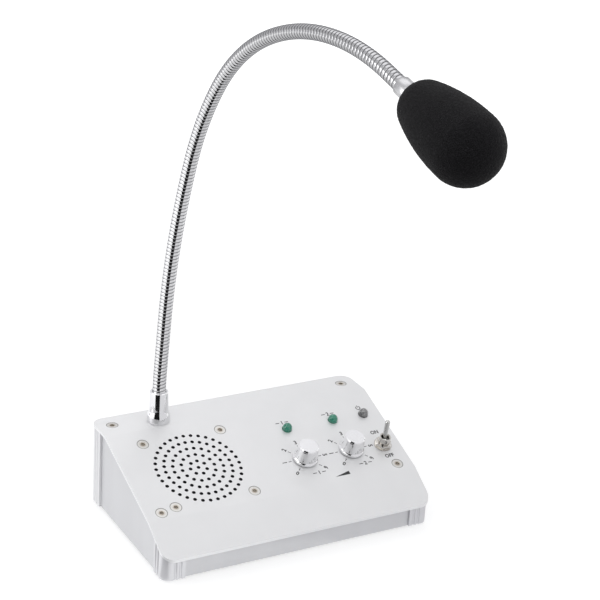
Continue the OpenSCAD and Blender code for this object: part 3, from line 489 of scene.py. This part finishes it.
def tube_group():
    """Geometry Nodes: a tube round a curve, with one helical ridge"""
    g, given, out = new_group(
        "Wound Tube", "GeometryNodeTree",
        {"Geometry": "Geometry", "Radius": "Float", "Pitch": "Float", "Depth": "Float",
         "Step": "Float", "Start": "Float", "Sides": "Int", "Across": "Vector",
         "Material": "Material"},
        {"Geometry": "Geometry"})
    resampled = node(g, "GeometryNodeResampleCurve", {
        "Curve": given["Geometry"], "Length": given["Step"]}, mode="LENGTH")
    course = node(g, "GeometryNodeSetCurveNormal", {
        "Curve": resampled.outputs[0], "Normal": given["Across"]}, mode="FREE")
    circle = node(g, "GeometryNodeCurvePrimitiveCircle", {
        "Resolution": given["Sides"], "Radius": given["Radius"]}, mode="RADIUS")
    spline = node(g, "GeometryNodeSplineParameter").outputs
    capture = "GeometryNodeCaptureAttribute"
    course, along = counted(g, capture, "Along", course.outputs[0], spline["Length"])[:2]
    section, around = counted(g, capture, "Around", circle.outputs[0], spline["Factor"])[:2]
    tube = node(g, "GeometryNodeCurveToMesh", {"Curve": course, "Profile Curve": section})
    # 0 at the middle of a turn and 1 in the groove, with a flat top and steep flanks
    turns = math_node(g, "DIVIDE", math_node(g, "ADD", along, given["Start"]), given["Pitch"])
    phase = math_node(g, "FRACT", math_node(g, "SUBTRACT", turns, around))
    centred = math_node(g, "SUBTRACT", math_node(g, "MULTIPLY", phase, 2.0), 1.0)
    groove = math_node(g, "POWER", math_node(g, "ABSOLUTE", centred), 5.0)
    bead = math_node(g, "SUBTRACT", 1.0, groove, clamp=True)
    sunk = math_node(g, "MULTIPLY", math_node(g, "SUBTRACT", bead, 1.0), given["Depth"])
    moved = node(g, "GeometryNodeSetPosition", {
        "Geometry": tube.outputs[0], "Offset": along_normal(g, sunk)})
    kept = node(g, "GeometryNodeStoreNamedAttribute", {
        "Geometry": moved.outputs[0], "Name": "Bead", "Value": bead},
        data_type="FLOAT", domain="POINT")
    smooth = node(g, "GeometryNodeSetShadeSmooth", {"Geometry": kept.outputs[0]})
    return finish_group(g, out, smooth.outputs[0], given["Material"])


def foam_group():
    """Geometry Nodes: lifts and sinks a skin into open pores"""
    g, given, out = new_group(
        "Foam Skin", "GeometryNodeTree",
        {"Geometry": "Geometry", "Depth": "Float", "Scale": "Float", "Material": "Material"},
        {"Geometry": "Geometry"})
    place = node(g, "GeometryNodeInputPosition").outputs[0]
    pores = node(g, "ShaderNodeTexVoronoi", {
        "Vector": place, "Scale": given["Scale"]}, feature="F1").outputs["Distance"]
    broad = node(g, "ShaderNodeTexNoise", {
        "Vector": place, "Scale": 160.0, "Detail": 2.0}).outputs[0]
    lift = math_node(g, "SUBTRACT", math_node(g, "ADD", pores, broad), 1.15)
    moved = node(g, "GeometryNodeSetPosition", {
        "Geometry": given["Geometry"],
        "Offset": along_normal(g, math_node(g, "MULTIPLY", lift, given["Depth"]))})
    return finish_group(g, out, moved.outputs[0], given["Material"])


# ---------------------------------------------------------------- operators

class StageOperator(bpy.types.Operator):
    """Floor, soft lamps, world and the camera at the photograph's angle"""

    bl_idname = "intercom.stage"
    bl_label = "Stage"

    def execute(self, context):
        scene = context.scene
        scene.view_settings.view_transform = "Standard"
        camera = bpy.data.cameras.new("Camera")
        camera.lens = CAMERA_LENS
        camera.sensor_width = CAMERA_SENSOR
        camera.clip_start = 0.01
        scene.camera = self.placed(scene, "Camera", camera, CAMERA_PLACE,
                                   Euler(CAMERA_TURN, "XYZ"))

        # white background for what looks at it, an even grey-white for the rest
        world = bpy.data.worlds.new("Studio")
        world.use_nodes = True
        tree = world.node_tree
        tree.nodes.clear()
        light = node(tree, "ShaderNodeBackground", {"Color": (0.97, 0.98, 1.0), "Strength": 0.55})
        white = node(tree, "ShaderNodeBackground", {"Color": (1, 1, 1), "Strength": 1.0})
        mix = node(tree, "ShaderNodeMixShader", {
            0: self.seen(tree), 1: light.outputs[0], 2: white.outputs[0]})
        node(tree, "ShaderNodeOutputWorld", {"Surface": mix.outputs[0]})
        scene.world = world

        self.floor()
        for name, place, aim, size, power in LAMPS:
            data = bpy.data.lights.new(name, "AREA")
            data.size = size
            data.energy = power
            turn = (Vector(aim) - Vector(place)).to_track_quat("-Z", "Y").to_euler()
            self.placed(scene, name, data, place, turn)
        for fan in FANS:
            self.fan(*fan)
        for board in BOARDS:
            self.board(*board)
        return {"FINISHED"}

    def placed(self, scene, name, data, place, turn):
        """An object in the scene at a place, turned"""
        obj = bpy.data.objects.new(name, data)
        obj.location = place
        obj.rotation_euler = turn
        scene.collection.objects.link(obj)
        return obj

    def floor(self):
        """A floor that takes the object's shadow and glows white for what looks at it"""
        mesh = bpy.data.meshes.new("floor")
        mesh.from_pydata([(-3, -3, 0), (3, -3, 0), (3, 3, 0), (-3, 3, 0)], [], [(0, 1, 2, 3)])
        m = bpy.data.materials.new("Floor")
        m.use_nodes = True
        tree = m.node_tree
        tree.nodes.clear()
        # the glow is weaker near the object, where its shadow lies
        away = vector_node(tree, "LENGTH", object_place(tree))
        strength = math_node(tree, "MULTIPLY", self.seen(tree),
                             mapped(tree, away, 0.25, 1.1, 0.62, 1.0))
        diffuse = node(tree, "ShaderNodeBsdfDiffuse", {"Color": (0.5, 0.5, 0.5)})
        glow = node(tree, "ShaderNodeEmission", {"Color": (1, 1, 1), "Strength": strength})
        both = node(tree, "ShaderNodeAddShader", {0: diffuse.outputs[0], 1: glow.outputs[0]})
        node(tree, "ShaderNodeOutputMaterial", {"Surface": both.outputs[0]})
        piece("floor", mesh, m, None)

    def seen(self, tree):
        """1 for rays from the camera and from gloss and glass, else 0"""
        path = node(tree, "ShaderNodeLightPath").outputs
        both = math_node(tree, "MAXIMUM", path["Is Camera Ray"], path["Is Glossy Ray"])
        return math_node(tree, "MAXIMUM", both, path["Is Transmission Ray"])

    def fan(self, name, centre, reach, span, heights, shade):
        """Two dull boards round a centre: one on the floor, one standing at its far edge"""
        near, far = reach
        first, last = (math.radians(a) for a in span)
        low, tall = heights

        def at(r, a, z):
            return (centre.x + r * math.cos(a), centre.y + r * math.sin(a), z)

        self.board(name, [at(near, first, low), at(near, last, low),
                          at(far, last, low), at(far, first, low)], shade)
        self.board(name + "_far", [at(far, first, low), at(far, last, low),
                                   at(far, last, tall), at(far, first, tall)], shade)

    def board(self, name, corners, shade):
        """A dull board that only shows in polished metal"""
        mesh = bpy.data.meshes.new(name)
        mesh.from_pydata(corners, [], [(0, 1, 2, 3)])
        m = bpy.data.materials.new("Board " + name)
        m.use_nodes = True
        m.node_tree.nodes.clear()
        glow = node(m.node_tree, "ShaderNodeEmission", {
            "Color": (0.98, 0.98, 1.0), "Strength": shade})
        node(m.node_tree, "ShaderNodeOutputMaterial", {"Surface": glow.outputs[0]})
        obj = piece(name, mesh, m, None)
        obj.visible_camera = False
        obj.visible_diffuse = False
        obj.visible_transmission = False
        obj.visible_shadow = False


class HousingOperator(bpy.types.Operator):
    """Satin aluminium panel, anodised posts and sheets, and the plates below"""

    bl_idname = "intercom.housing"
    bl_label = "Housing"

    def execute(self, context):
        panel = grained("Satin aluminium", (0.70, 0.70, 0.705), (0.72, 0.72, 0.725), 0.47,
                        metallic=0.5, scale=5200.0, strength=0.22)
        recolour(panel, self.edges_and_holes)
        self.soften_bends(panel)
        paint(panel, "top_panel")
        paint(grained("Anodised sheet", (0.685, 0.687, 0.705), (0.725, 0.727, 0.745), 0.42,
                      metallic=0.5, scale=3000.0, strength=0.2, stretch=(1, 1, 0.12)),
              "front_sheet", "rear_sheet", "left_sheet", "right_sheet")
        # the four posts are one extrusion in two copies: the front posts' darker copy holds
        # painted shade, the rear posts' lighter copy painted light
        paint(grained("Extrusion shaded copy", (0.72, 0.72, 0.74), (0.75, 0.75, 0.77), 0.38,
                      metallic=0.8, scale=900.0, strength=0.02, stretch=(1, 1, 0.03)),
              "front_left_post", "front_right_post")
        paint(grained("Extrusion lit copy", (0.81, 0.812, 0.825), (0.84, 0.842, 0.855), 0.45,
                      metallic=0.5, scale=900.0, strength=0.03, stretch=(1, 1, 0.03)),
              "rear_left_post", "rear_right_post")
        paint(grained("Zinc plate", (0.42, 0.43, 0.44), (0.55, 0.56, 0.57), 0.4, metallic=0.8,
                      scale=700.0), "bottom_plate")
        paint(grained("Pad rubber", (0.02, 0.02, 0.021), (0.035, 0.035, 0.036), 0.8,
                      scale=4000.0, strength=0.8), "anti_slip_pad")
        return {"FINISHED"}

    def face_normal(self, tree):
        """The face's own normal in the object's coordinates"""
        face = node(tree, "ShaderNodeNewGeometry").outputs["True Normal"]
        return node(tree, "ShaderNodeVectorTransform", {0: face}, convert_from="WORLD",
                    convert_to="OBJECT").outputs[0]

    def edges_and_holes(self, tree, plain):
        """The panel's colour with a painted highlight on its edge faces and painted shade on the
        walls of the grille's holes
        """
        normal = self.face_normal(tree)
        place = object_place(tree)
        up = node(tree, "ShaderNodeSeparateXYZ", {0: normal}).outputs[2]
        upright = math_node(tree, "LESS_THAN", math_node(tree, "ABSOLUTE", up), 0.2)
        across, along, _ = node(tree, "ShaderNodeSeparateXYZ", {0: place}).outputs
        at_side, at_end = (
            math_node(tree, "GREATER_THAN", math_node(tree, "ABSOLUTE", way), size / 2 - HIGHLIGHT_BAND)
            for way, size in ((across, PANEL_W), (along, PANEL_D)))
        # painted highlight: upright faces near the panel's outer edges made bright
        rim = math_node(tree, "MULTIPLY", upright, math_node(tree, "MAXIMUM", at_side, at_end))
        edged = mixed(tree, rim, plain, (0.93, 0.93, 0.94))
        # painted shade: the walls of the grille's holes made nearly black
        away = vector_node(tree, "DISTANCE", place, on_main(GRILLE_X, GRILLE_S))
        facing = vector_node(tree, "DOT_PRODUCT", normal, MAIN_NORMAL)
        hole_shade = math_node(tree, "MULTIPLY", math_node(tree, "LESS_THAN", away, GRILLE_R),
                         math_node(tree, "LESS_THAN", facing, 0.5))
        return mixed(tree, hole_shade, edged, (0.03, 0.03, 0.035))

    def soften_bends(self, m):
        """Turns the normals on the panel's top towards the main slope's, as soft bends do"""
        tree = m.node_tree
        up = node(tree, "ShaderNodeSeparateXYZ", {0: self.face_normal(tree)}).outputs[2]
        share = math_node(tree, "MULTIPLY", math_node(tree, "GREATER_THAN", up, 0.5), 0.85)
        own = node(tree, "ShaderNodeNewGeometry").outputs["Normal"]
        slope = node(tree, "ShaderNodeVectorTransform", {0: MAIN_NORMAL}, vector_type="NORMAL",
                     convert_from="OBJECT", convert_to="WORLD").outputs[0]
        grain = next(n for n in tree.nodes if n.type == "GROUP")
        feed(tree, grain, {"Base Normal": mixed_vectors(tree, share, own, slope)})


class FastenersOperator(bpy.types.Operator):
    """Nickel plated screws, nuts and standoffs"""

    bl_idname = "intercom.fasteners"
    bl_label = "Fasteners"

    def execute(self, context):
        both = (-1, 1)
        paint(self.heads("Speaker screw", [
            on_main(GRILLE_X + x * SPEAKER_SCREWS, GRILLE_S + y * SPEAKER_SCREWS)
            for x in both for y in both]), "speaker_screws")
        edges = [x * (PANEL_W / 2 - SCREW_IN) for x in both]
        paint(self.heads("Corner screw", [on_main(x, SCREW_S) for x in edges] + [
            Vector((x, BACK_Y - SCREW_BACK, BACK_H)) for x in edges]), "corner_screws")
        paint(grained("Nickel plate", (0.50, 0.47, 0.43), (0.68, 0.66, 0.62), 0.28,
                      metallic=1.0, scale=1500.0, strength=0.4),
              "panel_nuts", "bottom_screws", "board_screws", "board_standoffs",
              "potentiometer_nuts", "gooseneck_washer", "gooseneck_nut", "power_jack_nut",
              "unit_jack_nut")
        return {"FINISHED"}

    def heads(self, name, places):
        """Nickel that is browner towards the socket, with painted shade in the socket's middle, at
        its edge and at the rim of each head
        """
        m, tree, shader = material(name, metallic=0.8)
        at = object_place(tree)
        away = vector_node(tree, "DISTANCE", at, places[0])
        for place in places[1:]:
            away = math_node(tree, "MINIMUM", away, vector_node(tree, "DISTANCE", at, place))
        # painted shade: dark in the socket's middle, in a ring at its edge and round the head's
        # rim; the brown towards the socket is the head's own tone
        shaded_tint = colour_stops(
            tree, math_node(tree, "DIVIDE", away, HEAD_R), (0.12, 0.09, 0.06),
            ((0.12, (0.22, 0.17, 0.12)), (0.22, (0.50, 0.43, 0.34)), (0.38, (0.58, 0.52, 0.44)),
             (0.43, (0.36, 0.33, 0.29)), (0.50, (0.58, 0.56, 0.53)), (0.82, (0.63, 0.62, 0.60)),
             (0.90, (0.40, 0.39, 0.37))), (0.04, 0.04, 0.035))
        grain = grain_outputs(tree, 2600.0, 0.35)
        feed(tree, shader, {"Base Color": shaded_tint, "Normal": grain["Normal"],
                            "Roughness": ramp(tree, grain["Fine"], 0.3, 0.4)})
        return m


class PrintingOperator(bpy.types.Operator):
    """Dial ticks and digits, ON and OFF, printed on the main slope"""

    bl_idname = "intercom.printing"
    bl_label = "Printing"

    def execute(self, context):
        sizes = context.scene.intercom
        lift = sizes.print_lift
        bm = bmesh.new()
        for _, x in SIDES:
            for k in range(DIAL_MARKS):
                turn = main_frame(x, KNOB_S, lift) @ Matrix.Rotation(
                    math.radians(DIAL_FIRST - DIAL_STEP * k), 4, "Z")
                self.bar(bm, turn, TICK_FROM, TICK_TO, TICK_W)
                outward = Matrix.Translation((DIGITS_R, 0, 0)) @ Matrix.Rotation(
                    -math.pi / 2, 4, "Z")
                self.word(bm, context, str(k), turn @ outward, sizes.digit_height)
        self.word(bm, context, "ON", main_frame(SWITCH_X - 0.2 * MM, 31.4 * MM, lift), WORD_H)
        self.word(bm, context, "OFF", main_frame(SWITCH_X, 49.0 * MM, lift), WORD_H)
        # a number between two bars, at each lamp and below each dial
        for number, x in (("1", INSIDE_X), ("2", OUTSIDE_X)):
            for place in (main_frame(x - 0.8 * MM, 12.6 * MM, lift),
                          main_frame(x + 3.4 * MM, 50.6 * MM, lift)):
                self.word(bm, context, number, place, WORD_H)
                self.bar(bm, place, 1.6 * MM, 3.8 * MM, MARK_W)
                self.bar(bm, place, -3.8 * MM, -1.6 * MM, MARK_W)
        # the power symbol at its lamp, and a wedge for the volume
        place = main_frame(SWITCH_X - 0.6 * MM, 12.4 * MM, lift)
        self.arc(bm, place, 1.0 * MM, 1.0 * MM + MARK_W, 125, 415)
        self.bar(bm, place @ Matrix.Rotation(math.pi / 2, 4, "Z"), 0.3 * MM, 1.8 * MM, MARK_W)
        place = main_frame((INSIDE_X + OUTSIDE_X) / 2 + 1.0 * MM, 55.0 * MM, lift)
        self.face(bm, place, [(-4.5 * MM, -0.8 * MM), (4.5 * MM, -0.8 * MM), (4.5 * MM, 1.5 * MM)])
        mesh = bpy.data.meshes.new("printing")
        bm.to_mesh(mesh)
        bm.free()
        ink = grained("Printing ink", (0.008, 0.008, 0.009), (0.02, 0.02, 0.022), 0.5,
                      scale=6000.0, strength=0.2)
        piece("panel_printing", mesh, ink, "base")
        return {"FINISHED"}

    def face(self, bm, place, corners):
        """A flat face with its corners given on a place's X and Y"""
        bm.faces.new([bm.verts.new(place @ Vector((x, y, 0))) for x, y in corners])

    def bar(self, bm, place, r0, r1, width):
        """A flat bar from r0 to r1 along X"""
        w = width / 2
        self.face(bm, place, [(r0, -w), (r1, -w), (r1, w), (r0, w)])

    def arc(self, bm, place, r0, r1, first, last):
        """A flat ring's part between two angles in degrees"""
        rows = [[bm.verts.new(place @ Vector((r * math.cos(a), r * math.sin(a), 0)))
                 for r in (r0, r1)] for a in np.radians(np.linspace(first, last, 25))]
        for a, b in zip(rows, rows[1:]):
            bm.faces.new((a[0], a[1], b[1], b[0]))

    def word(self, bm, context, text, place, height):
        """A word or digit, centred at a place, of a given height"""
        curve = bpy.data.curves.new("glyphs", "FONT")
        curve.body = text
        curve.size = 1.0
        curve.resolution_u = 4
        curve.offset = 0.03
        obj = bpy.data.objects.new("glyphs", curve)
        context.scene.collection.objects.link(obj)
        context.view_layer.update()
        mesh = evaluated(obj, "glyphs")
        co = np.array([v.co for v in mesh.vertices])
        low, high = co.min(0), co.max(0)
        k = height / (high[1] - low[1])
        middle = Vector((low + high) / 2)
        mesh.transform(place @ Matrix.Diagonal((k * 0.92, k, 1, 1)) @ Matrix.Translation(-middle))
        bm.from_mesh(mesh)
        bpy.data.meshes.remove(mesh)


class LampsOperator(bpy.types.Operator):
    """Green and clear lamps with their cups inside, and their clips"""

    bl_idname = "intercom.lamps"
    bl_label = "Lamps"

    def execute(self, context):
        paint(self.lens("Green lens", (0.045, 0.50, 0.32), 0.68, 0.045),
              "inside_lamp", "outside_lamp")
        paint(self.lens("Clear lens", (0.80, 0.80, 0.82), 0.92, 0.0), "power_lamp")
        cup = grained("Lamp cup", (0.10, 0.10, 0.10), (0.22, 0.22, 0.22), 0.3, metallic=1.0)
        black = grained("Lead frame", (0.006, 0.008, 0.008), (0.02, 0.02, 0.02), 0.5)
        for name, x in (*SIDES, ("power", SWITCH_X)):
            piece(name + "_lamp_cup", lathe(LAMP_CUP, 32, main_frame(x, LAMP_S)), cup, "base")
            beside = main_frame(x - 1.55 * MM, LAMP_S + 0.2 * MM)
            piece(name + "_lamp_lead", lathe(LAMP_LEAD, 20, beside), black, "base")
        paint(grained("Clip plastic", (0.02, 0.02, 0.02), (0.03, 0.03, 0.03), 0.6),
              "lamp_clips")
        return {"FINISHED"}

    def lens(self, label, colour, clearness, glow):
        """Cast resin that lets part of the light through, with a painted glow standing in for the
        light scattered in it
        """
        m, tree, shader = material(label, ior=1.52, coat=0.6)
        noise = node(tree, "ShaderNodeTexNoise", {"Scale": 900.0, "Detail": 2.0}).outputs[0]
        dark = tuple(c * 0.8 for c in colour)
        # painted glow: the lens gives off a little light of its own colour
        feed(tree, shader, {
            "Transmission Weight": clearness, "Emission Color": colour,
            "Emission Strength": glow, "Base Color": ramp(tree, noise, dark, colour),
            "Roughness": ramp(tree, noise, 0.06, 0.12)})
        return m


class KnobsOperator(bpy.types.Operator):
    """Turned aluminium knobs with painted shade in the pointer notch, on their shafts"""

    bl_idname = "intercom.knobs"
    bl_label = "Knobs"

    def execute(self, context):
        for name, x in SIDES:
            m = turned("Turned " + name, (0.86, 0.86, 0.87), (0.89, 0.89, 0.90), 0.14,
                       on_main(x, KNOB_S), MAIN_NORMAL, pitch=0.5 * MM, strength=0.06)
            recolour(m, lambda tree, plain, x=x: self.notched(tree, plain, x))
            paint(m, name + "_volume_knob", name + "_volume_shaft")
            paint(grained("Plated " + name, (0.45, 0.45, 0.45), (0.6, 0.6, 0.6), 0.35,
                          metallic=1.0, scale=900.0), name + "_potentiometer")
        return {"FINISHED"}

    def notched(self, tree, plain, x):
        """A knob's colour with painted shade darkening the upper part of the pointer notch in its
        rim
        """
        turn = main_frame(x, KNOB_S) @ Matrix.Rotation(math.radians(DIAL_FIRST), 4, "Z")
        reach = vector_node(tree, "SUBTRACT", object_place(tree), turn.translation)
        out, side, up = (vector_node(tree, "DOT_PRODUCT", reach, turn.col[k][:3])
                         for k in range(3))
        near_rim = math_node(tree, "MULTIPLY", math_node(tree, "GREATER_THAN", out, NOTCH_OUT),
                             math_node(tree, "GREATER_THAN", up, NOTCH_UP))
        within = math_node(tree, "LESS_THAN", math_node(tree, "ABSOLUTE", side), NOTCH_HALF)
        return mixed(tree, math_node(tree, "MULTIPLY", near_rim, within), plain,
                     (0.05, 0.05, 0.052))


class SwitchOperator(bpy.types.Operator):
    """Toggle switch: nickel bushing, nut and washer, polished lever"""

    bl_idname = "intercom.switch"
    bl_label = "Switch"

    def execute(self, context):
        paint(turned("Nickel bushing", (0.52, 0.50, 0.47), (0.68, 0.66, 0.63), 0.09,
                     on_main(SWITCH_X, SWITCH_S), MAIN_NORMAL, pitch=0.3 * MM, strength=0.2),
              "switch_body", "switch_washer", "switch_nut")
        paint(grained("Polished lever", (0.50, 0.50, 0.49), (0.62, 0.62, 0.61), 0.08,
                      metallic=1.0, scale=1200.0, strength=0.1), "switch_lever")
        return {"FINISHED"}


class NeckOperator(bpy.types.Operator):
    """The wound metal neck, in pieces that run across its joints, and its chromed socket"""

    bl_idname = "intercom.neck"
    bl_label = "Gooseneck"

    def execute(self, context):
        polish = grained("Polished chrome", (0.80, 0.80, 0.82), (0.86, 0.86, 0.87), 0.07,
                         metallic=1.0, scale=700.0, strength=0.06)
        mesh = lathe(FERRULE, 96, Matrix.Translation(NECK_FOOT))
        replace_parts(piece("neck_socket", mesh, polish, "base"), "gooseneck_socket")

        # each run goes from the middle of one stretch to the middle of the next
        wire = self.wire()
        group = tube_group()
        runs = [("base", None, (0, 0.0), (0, STRETCH / 2))]
        runs += [(NECK_BODIES[i], NECK_BODIES[i + 1], (i, STRETCH / 2), (i + 1, STRETCH / 2))
                 for i in range(LAST)]
        runs.append(("microphone", None, (LAST, STRETCH / 2), (LAST, STRETCH + 4.5 * MM)))
        for k, (a, b, start, end) in enumerate(runs):
            mesh = self.stretch(context, group, wire, start, end)
            obj = piece(f"wound_neck_{k}", mesh, None, None if b else a)
            if b:
                neck_point(*start)[0]
                neck_point(*end)[0]
                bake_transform(obj)
            if k <= LAST:
                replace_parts(obj, f"gooseneck_stretch_{k + 1}")
        return {"FINISHED"}

    def wire(self):
        """Chromed wire with painted shade down in the grooves and painted grey reflections on the
        arch and at the outline
        """
        m, tree, shader = material("Wound chrome", metallic=1.0)
        bead = node(tree, "ShaderNodeAttribute", attribute_name="Bead").outputs["Fac"]
        # painted shade: dark down in the grooves, the chrome's own colour on the crests
        shaded_tint = colour_stops(
            tree, bead, (0.06, 0.06, 0.062),
            ((0.55, (0.30, 0.30, 0.305)), (0.92, (0.80, 0.80, 0.81))), (0.84, 0.84, 0.85))
        # painted reflection: greyer the higher and the further out in front, where the neck bends
        # over, as if it mirrored a grey room above
        _, ahead, height = node(tree, "ShaderNodeSeparateXYZ", {0: object_place(tree)}).outputs
        along = math_node(tree, "SUBTRACT", height, math_node(tree, "MULTIPLY", ahead, 0.6))
        painted_arch_grey = mixed(tree, mapped(tree, along, 0.16, 0.33), shaded_tint, (0.54, 0.54, 0.545),
                     "MULTIPLY")
        # painted reflection: the outline darker, as if it mirrored the dim far side of the room
        facing = node(tree, "ShaderNodeLayerWeight", {"Blend": 0.5}).outputs["Facing"]
        painted_outline_grey = mixed(tree, mapped(tree, facing, 0.80, 0.98), painted_arch_grey, (0.45, 0.45, 0.46),
                       "MULTIPLY")
        grain = grain_outputs(tree, 1500.0, 0.15)
        feed(tree, shader, {
            "Normal": grain["Normal"], "Base Color": painted_outline_grey,
            "Specular Tint": (0.5, 0.5, 0.51), "Roughness": ramp(tree, grain["Fine"], 0.08, 0.15)})
        return m

    def stretch(self, context, group, wire, start, end):
        """The mesh of the neck between two places on its course"""
        sizes = context.scene.intercom
        first, last = (i * STRETCH + s for i, s in (start, end))
        points = [course_point(s) for s in
                  np.linspace(first, last, int((last - first) / (0.5 * MM)) + 1)]
        curve = bpy.data.curves.new("course", "CURVE")
        curve.dimensions = "3D"
        spline = curve.splines.new("POLY")
        spline.points.add(len(points) - 1)
        spline.points.foreach_set("co", [c for p in points for c in (*p, 1.0)])
        return through_nodes(
            context, curve, group, "wound_neck", radius=sizes.neck_radius,
            pitch=sizes.ridge_pitch, depth=sizes.ridge_depth, step=0.2 * MM, start=first,
            sides=32, across=tuple(NECK_ACROSS), material=wire)


class MicrophoneOperator(bpy.types.Operator):
    """Foam windscreen over the satin sleeve and the capsule"""

    bl_idname = "intercom.microphone"
    bl_label = "Microphone"

    def execute(self, context):
        end, lean = neck_point(LAST, STRETCH)
        place = Matrix.Rotation(NECK_HEADING, 4, "Z") @ Matrix.Rotation(
            math.radians(lean), 4, "Y")
        place.translation = end
        satin = turned("Satin sleeve", (0.47, 0.47, 0.48), (0.54, 0.54, 0.55), 0.3, end,
                       heading(lean))
        sleeve = piece("sleeve", lathe(SLEEVE, 64, place), satin, "microphone")
        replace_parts(sleeve, "microphone_sleeve")
        paint(grained("Capsule black", (0.02, 0.02, 0.02), (0.04, 0.04, 0.04), 0.5),
              "capsule_housing")
        paint(grained("Capsule can", (0.5, 0.5, 0.5), (0.6, 0.6, 0.6), 0.3, metallic=1.0),
              "microphone_capsule")

        skin = through_nodes(context, lathe(self.section(), 260, place), foam_group(), "foam",
                             depth=context.scene.intercom.foam_pore, scale=1100.0,
                             material=self.foam())
        cover = piece("foam_cover", skin, None, "microphone")
        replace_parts(cover, "foam_windscreen")
        return {"FINISHED"}

    def foam(self):
        """Open black foam: dark cells with slightly lighter walls"""
        m, tree, shader = material("Foam", sheen=0.01)
        at = object_place(tree)
        cells = node(tree, "ShaderNodeTexVoronoi", {
            "Vector": at, "Scale": 2300.0}).outputs["Distance"]
        cloud = node(tree, "ShaderNodeTexNoise", {
            "Vector": at, "Scale": 1400.0, "Detail": 5.0}).outputs[0]
        bump = node(tree, "ShaderNodeBump", {
            "Strength": 0.9, "Distance": 0.3 * MM, "Height": cells})
        deep = ramp(tree, cloud, (0.0006, 0.0005, 0.0008), (0.0018, 0.0016, 0.0022))
        feed(tree, shader, {
            "Sheen Roughness": 0.5, "Specular IOR Level": 0.13, "Normal": bump.outputs[0],
            "Base Color": mixed(tree, mapped(tree, cells, 0.35, 0.75), deep,
                                (0.008, 0.0075, 0.009)),
            "Roughness": ramp(tree, cloud, 0.62, 0.8)})
        return m

    def section(self):
        """The foam's turned section: bore, rim, skin, pole, then the pocket inside"""
        r0, z0, r1, z1, flank = 12.3, 21.3, 16.3, 46.9, 90.0
        bore, start, pocket, floor = 4.4, 15.9, 5.4, 37.1
        # the flank is one wide arc that touches both balls from outside
        a, b, apart = flank - r0, flank - r1, z1 - z0
        up = (a * a - b * b + apart * apart) / (2 * apart)
        centre = (-math.sqrt(a * a - up * up), z0 + up)
        first, last = -math.asin(up / a), math.asin((apart - up) / b)
        points = [(bore, start), (bore, 11.0), (4.55, 10.4), (4.9, 10.0)]
        for angle in np.linspace(math.radians(-65), first, 32):
            points.append((r0 * math.cos(angle), z0 + r0 * math.sin(angle)))
        for angle in np.linspace(first, last, 40)[1:]:
            points.append((centre[0] + flank * math.cos(angle),
                           centre[1] + flank * math.sin(angle)))
        for angle in np.linspace(last, math.pi / 2, 66)[1:-1]:
            points.append((r1 * math.cos(angle), z1 + r1 * math.sin(angle)))
        points += [(0.0, z1 + r1), (0.0, floor), (pocket, floor), (pocket, start), (bore, start)]
        # a little slimmer than the CAD solid, so that the pores stay inside it
        return [(r * 0.995, z) for r, z in points]


class InsideOperator(bpy.types.Operator):
    """Loudspeaker, dust cloth, circuit board and rear jacks"""

    bl_idname = "intercom.inside"
    bl_label = "Inside"

    def execute(self, context):
        paint(grained("Black felt", (0.004, 0.004, 0.005), (0.012, 0.011, 0.014), 0.95,
                      scale=5000.0, strength=1.0), "dust_cloth")
        paint(grained("Pressed paper", (0.02, 0.02, 0.02), (0.05, 0.05, 0.05), 0.85,
                      scale=2500.0, strength=0.8), "speaker_cone")
        paint(grained("Zinc basket", (0.5, 0.5, 0.5), (0.62, 0.62, 0.61), 0.35, metallic=1.0,
                      scale=600.0), "speaker_basket", "speaker_magnet")
        paint(grained("Board lacquer", (0.02, 0.16, 0.07), (0.03, 0.22, 0.10), 0.3,
                      scale=1500.0), "circuit_board")
        paint(grained("Black part", (0.012, 0.012, 0.013), (0.03, 0.03, 0.032), 0.45,
                      scale=2500.0), "capacitors", "heat_sink", "power_jack", "unit_jack")
        return {"FINISHED"}


class IntercomPanel(bpy.types.Panel):
    """Buttons for the intercom's pieces, and its sizes"""

    bl_idname = "VIEW3D_PT_intercom"
    bl_label = "Intercom"
    bl_space_type = "VIEW_3D"
    bl_region_type = "UI"
    bl_category = "Intercom"

    def draw(self, context):
        for name in IntercomSizes.__annotations__:
            self.layout.prop(context.scene.intercom, name)
        for kind in OPERATORS:
            self.layout.operator(kind.bl_idname)


OPERATORS = (
    StageOperator, HousingOperator, FastenersOperator, PrintingOperator, LampsOperator,
    KnobsOperator, SwitchOperator, NeckOperator, MicrophoneOperator, InsideOperator)


def register():
    for kind in (IntercomSizes, *OPERATORS, IntercomPanel):
        bpy.utils.register_class(kind)
    bpy.types.Scene.intercom = bpy.props.PointerProperty(type=IntercomSizes)


def unregister():
    del bpy.types.Scene.intercom
    for kind in reversed((IntercomSizes, *OPERATORS, IntercomPanel)):
        bpy.utils.unregister_class(kind)


def main():
    register()
    bpy.ops.intercom.stage()
    bpy.ops.intercom.housing()
    bpy.ops.intercom.fasteners()
    bpy.ops.intercom.printing()
    bpy.ops.intercom.lamps()
    bpy.ops.intercom.knobs()
    bpy.ops.intercom.switch()
    bpy.ops.intercom.neck()
    bpy.ops.intercom.microphone()
    bpy.ops.intercom.inside()


if __name__ == "__main__":
    main()
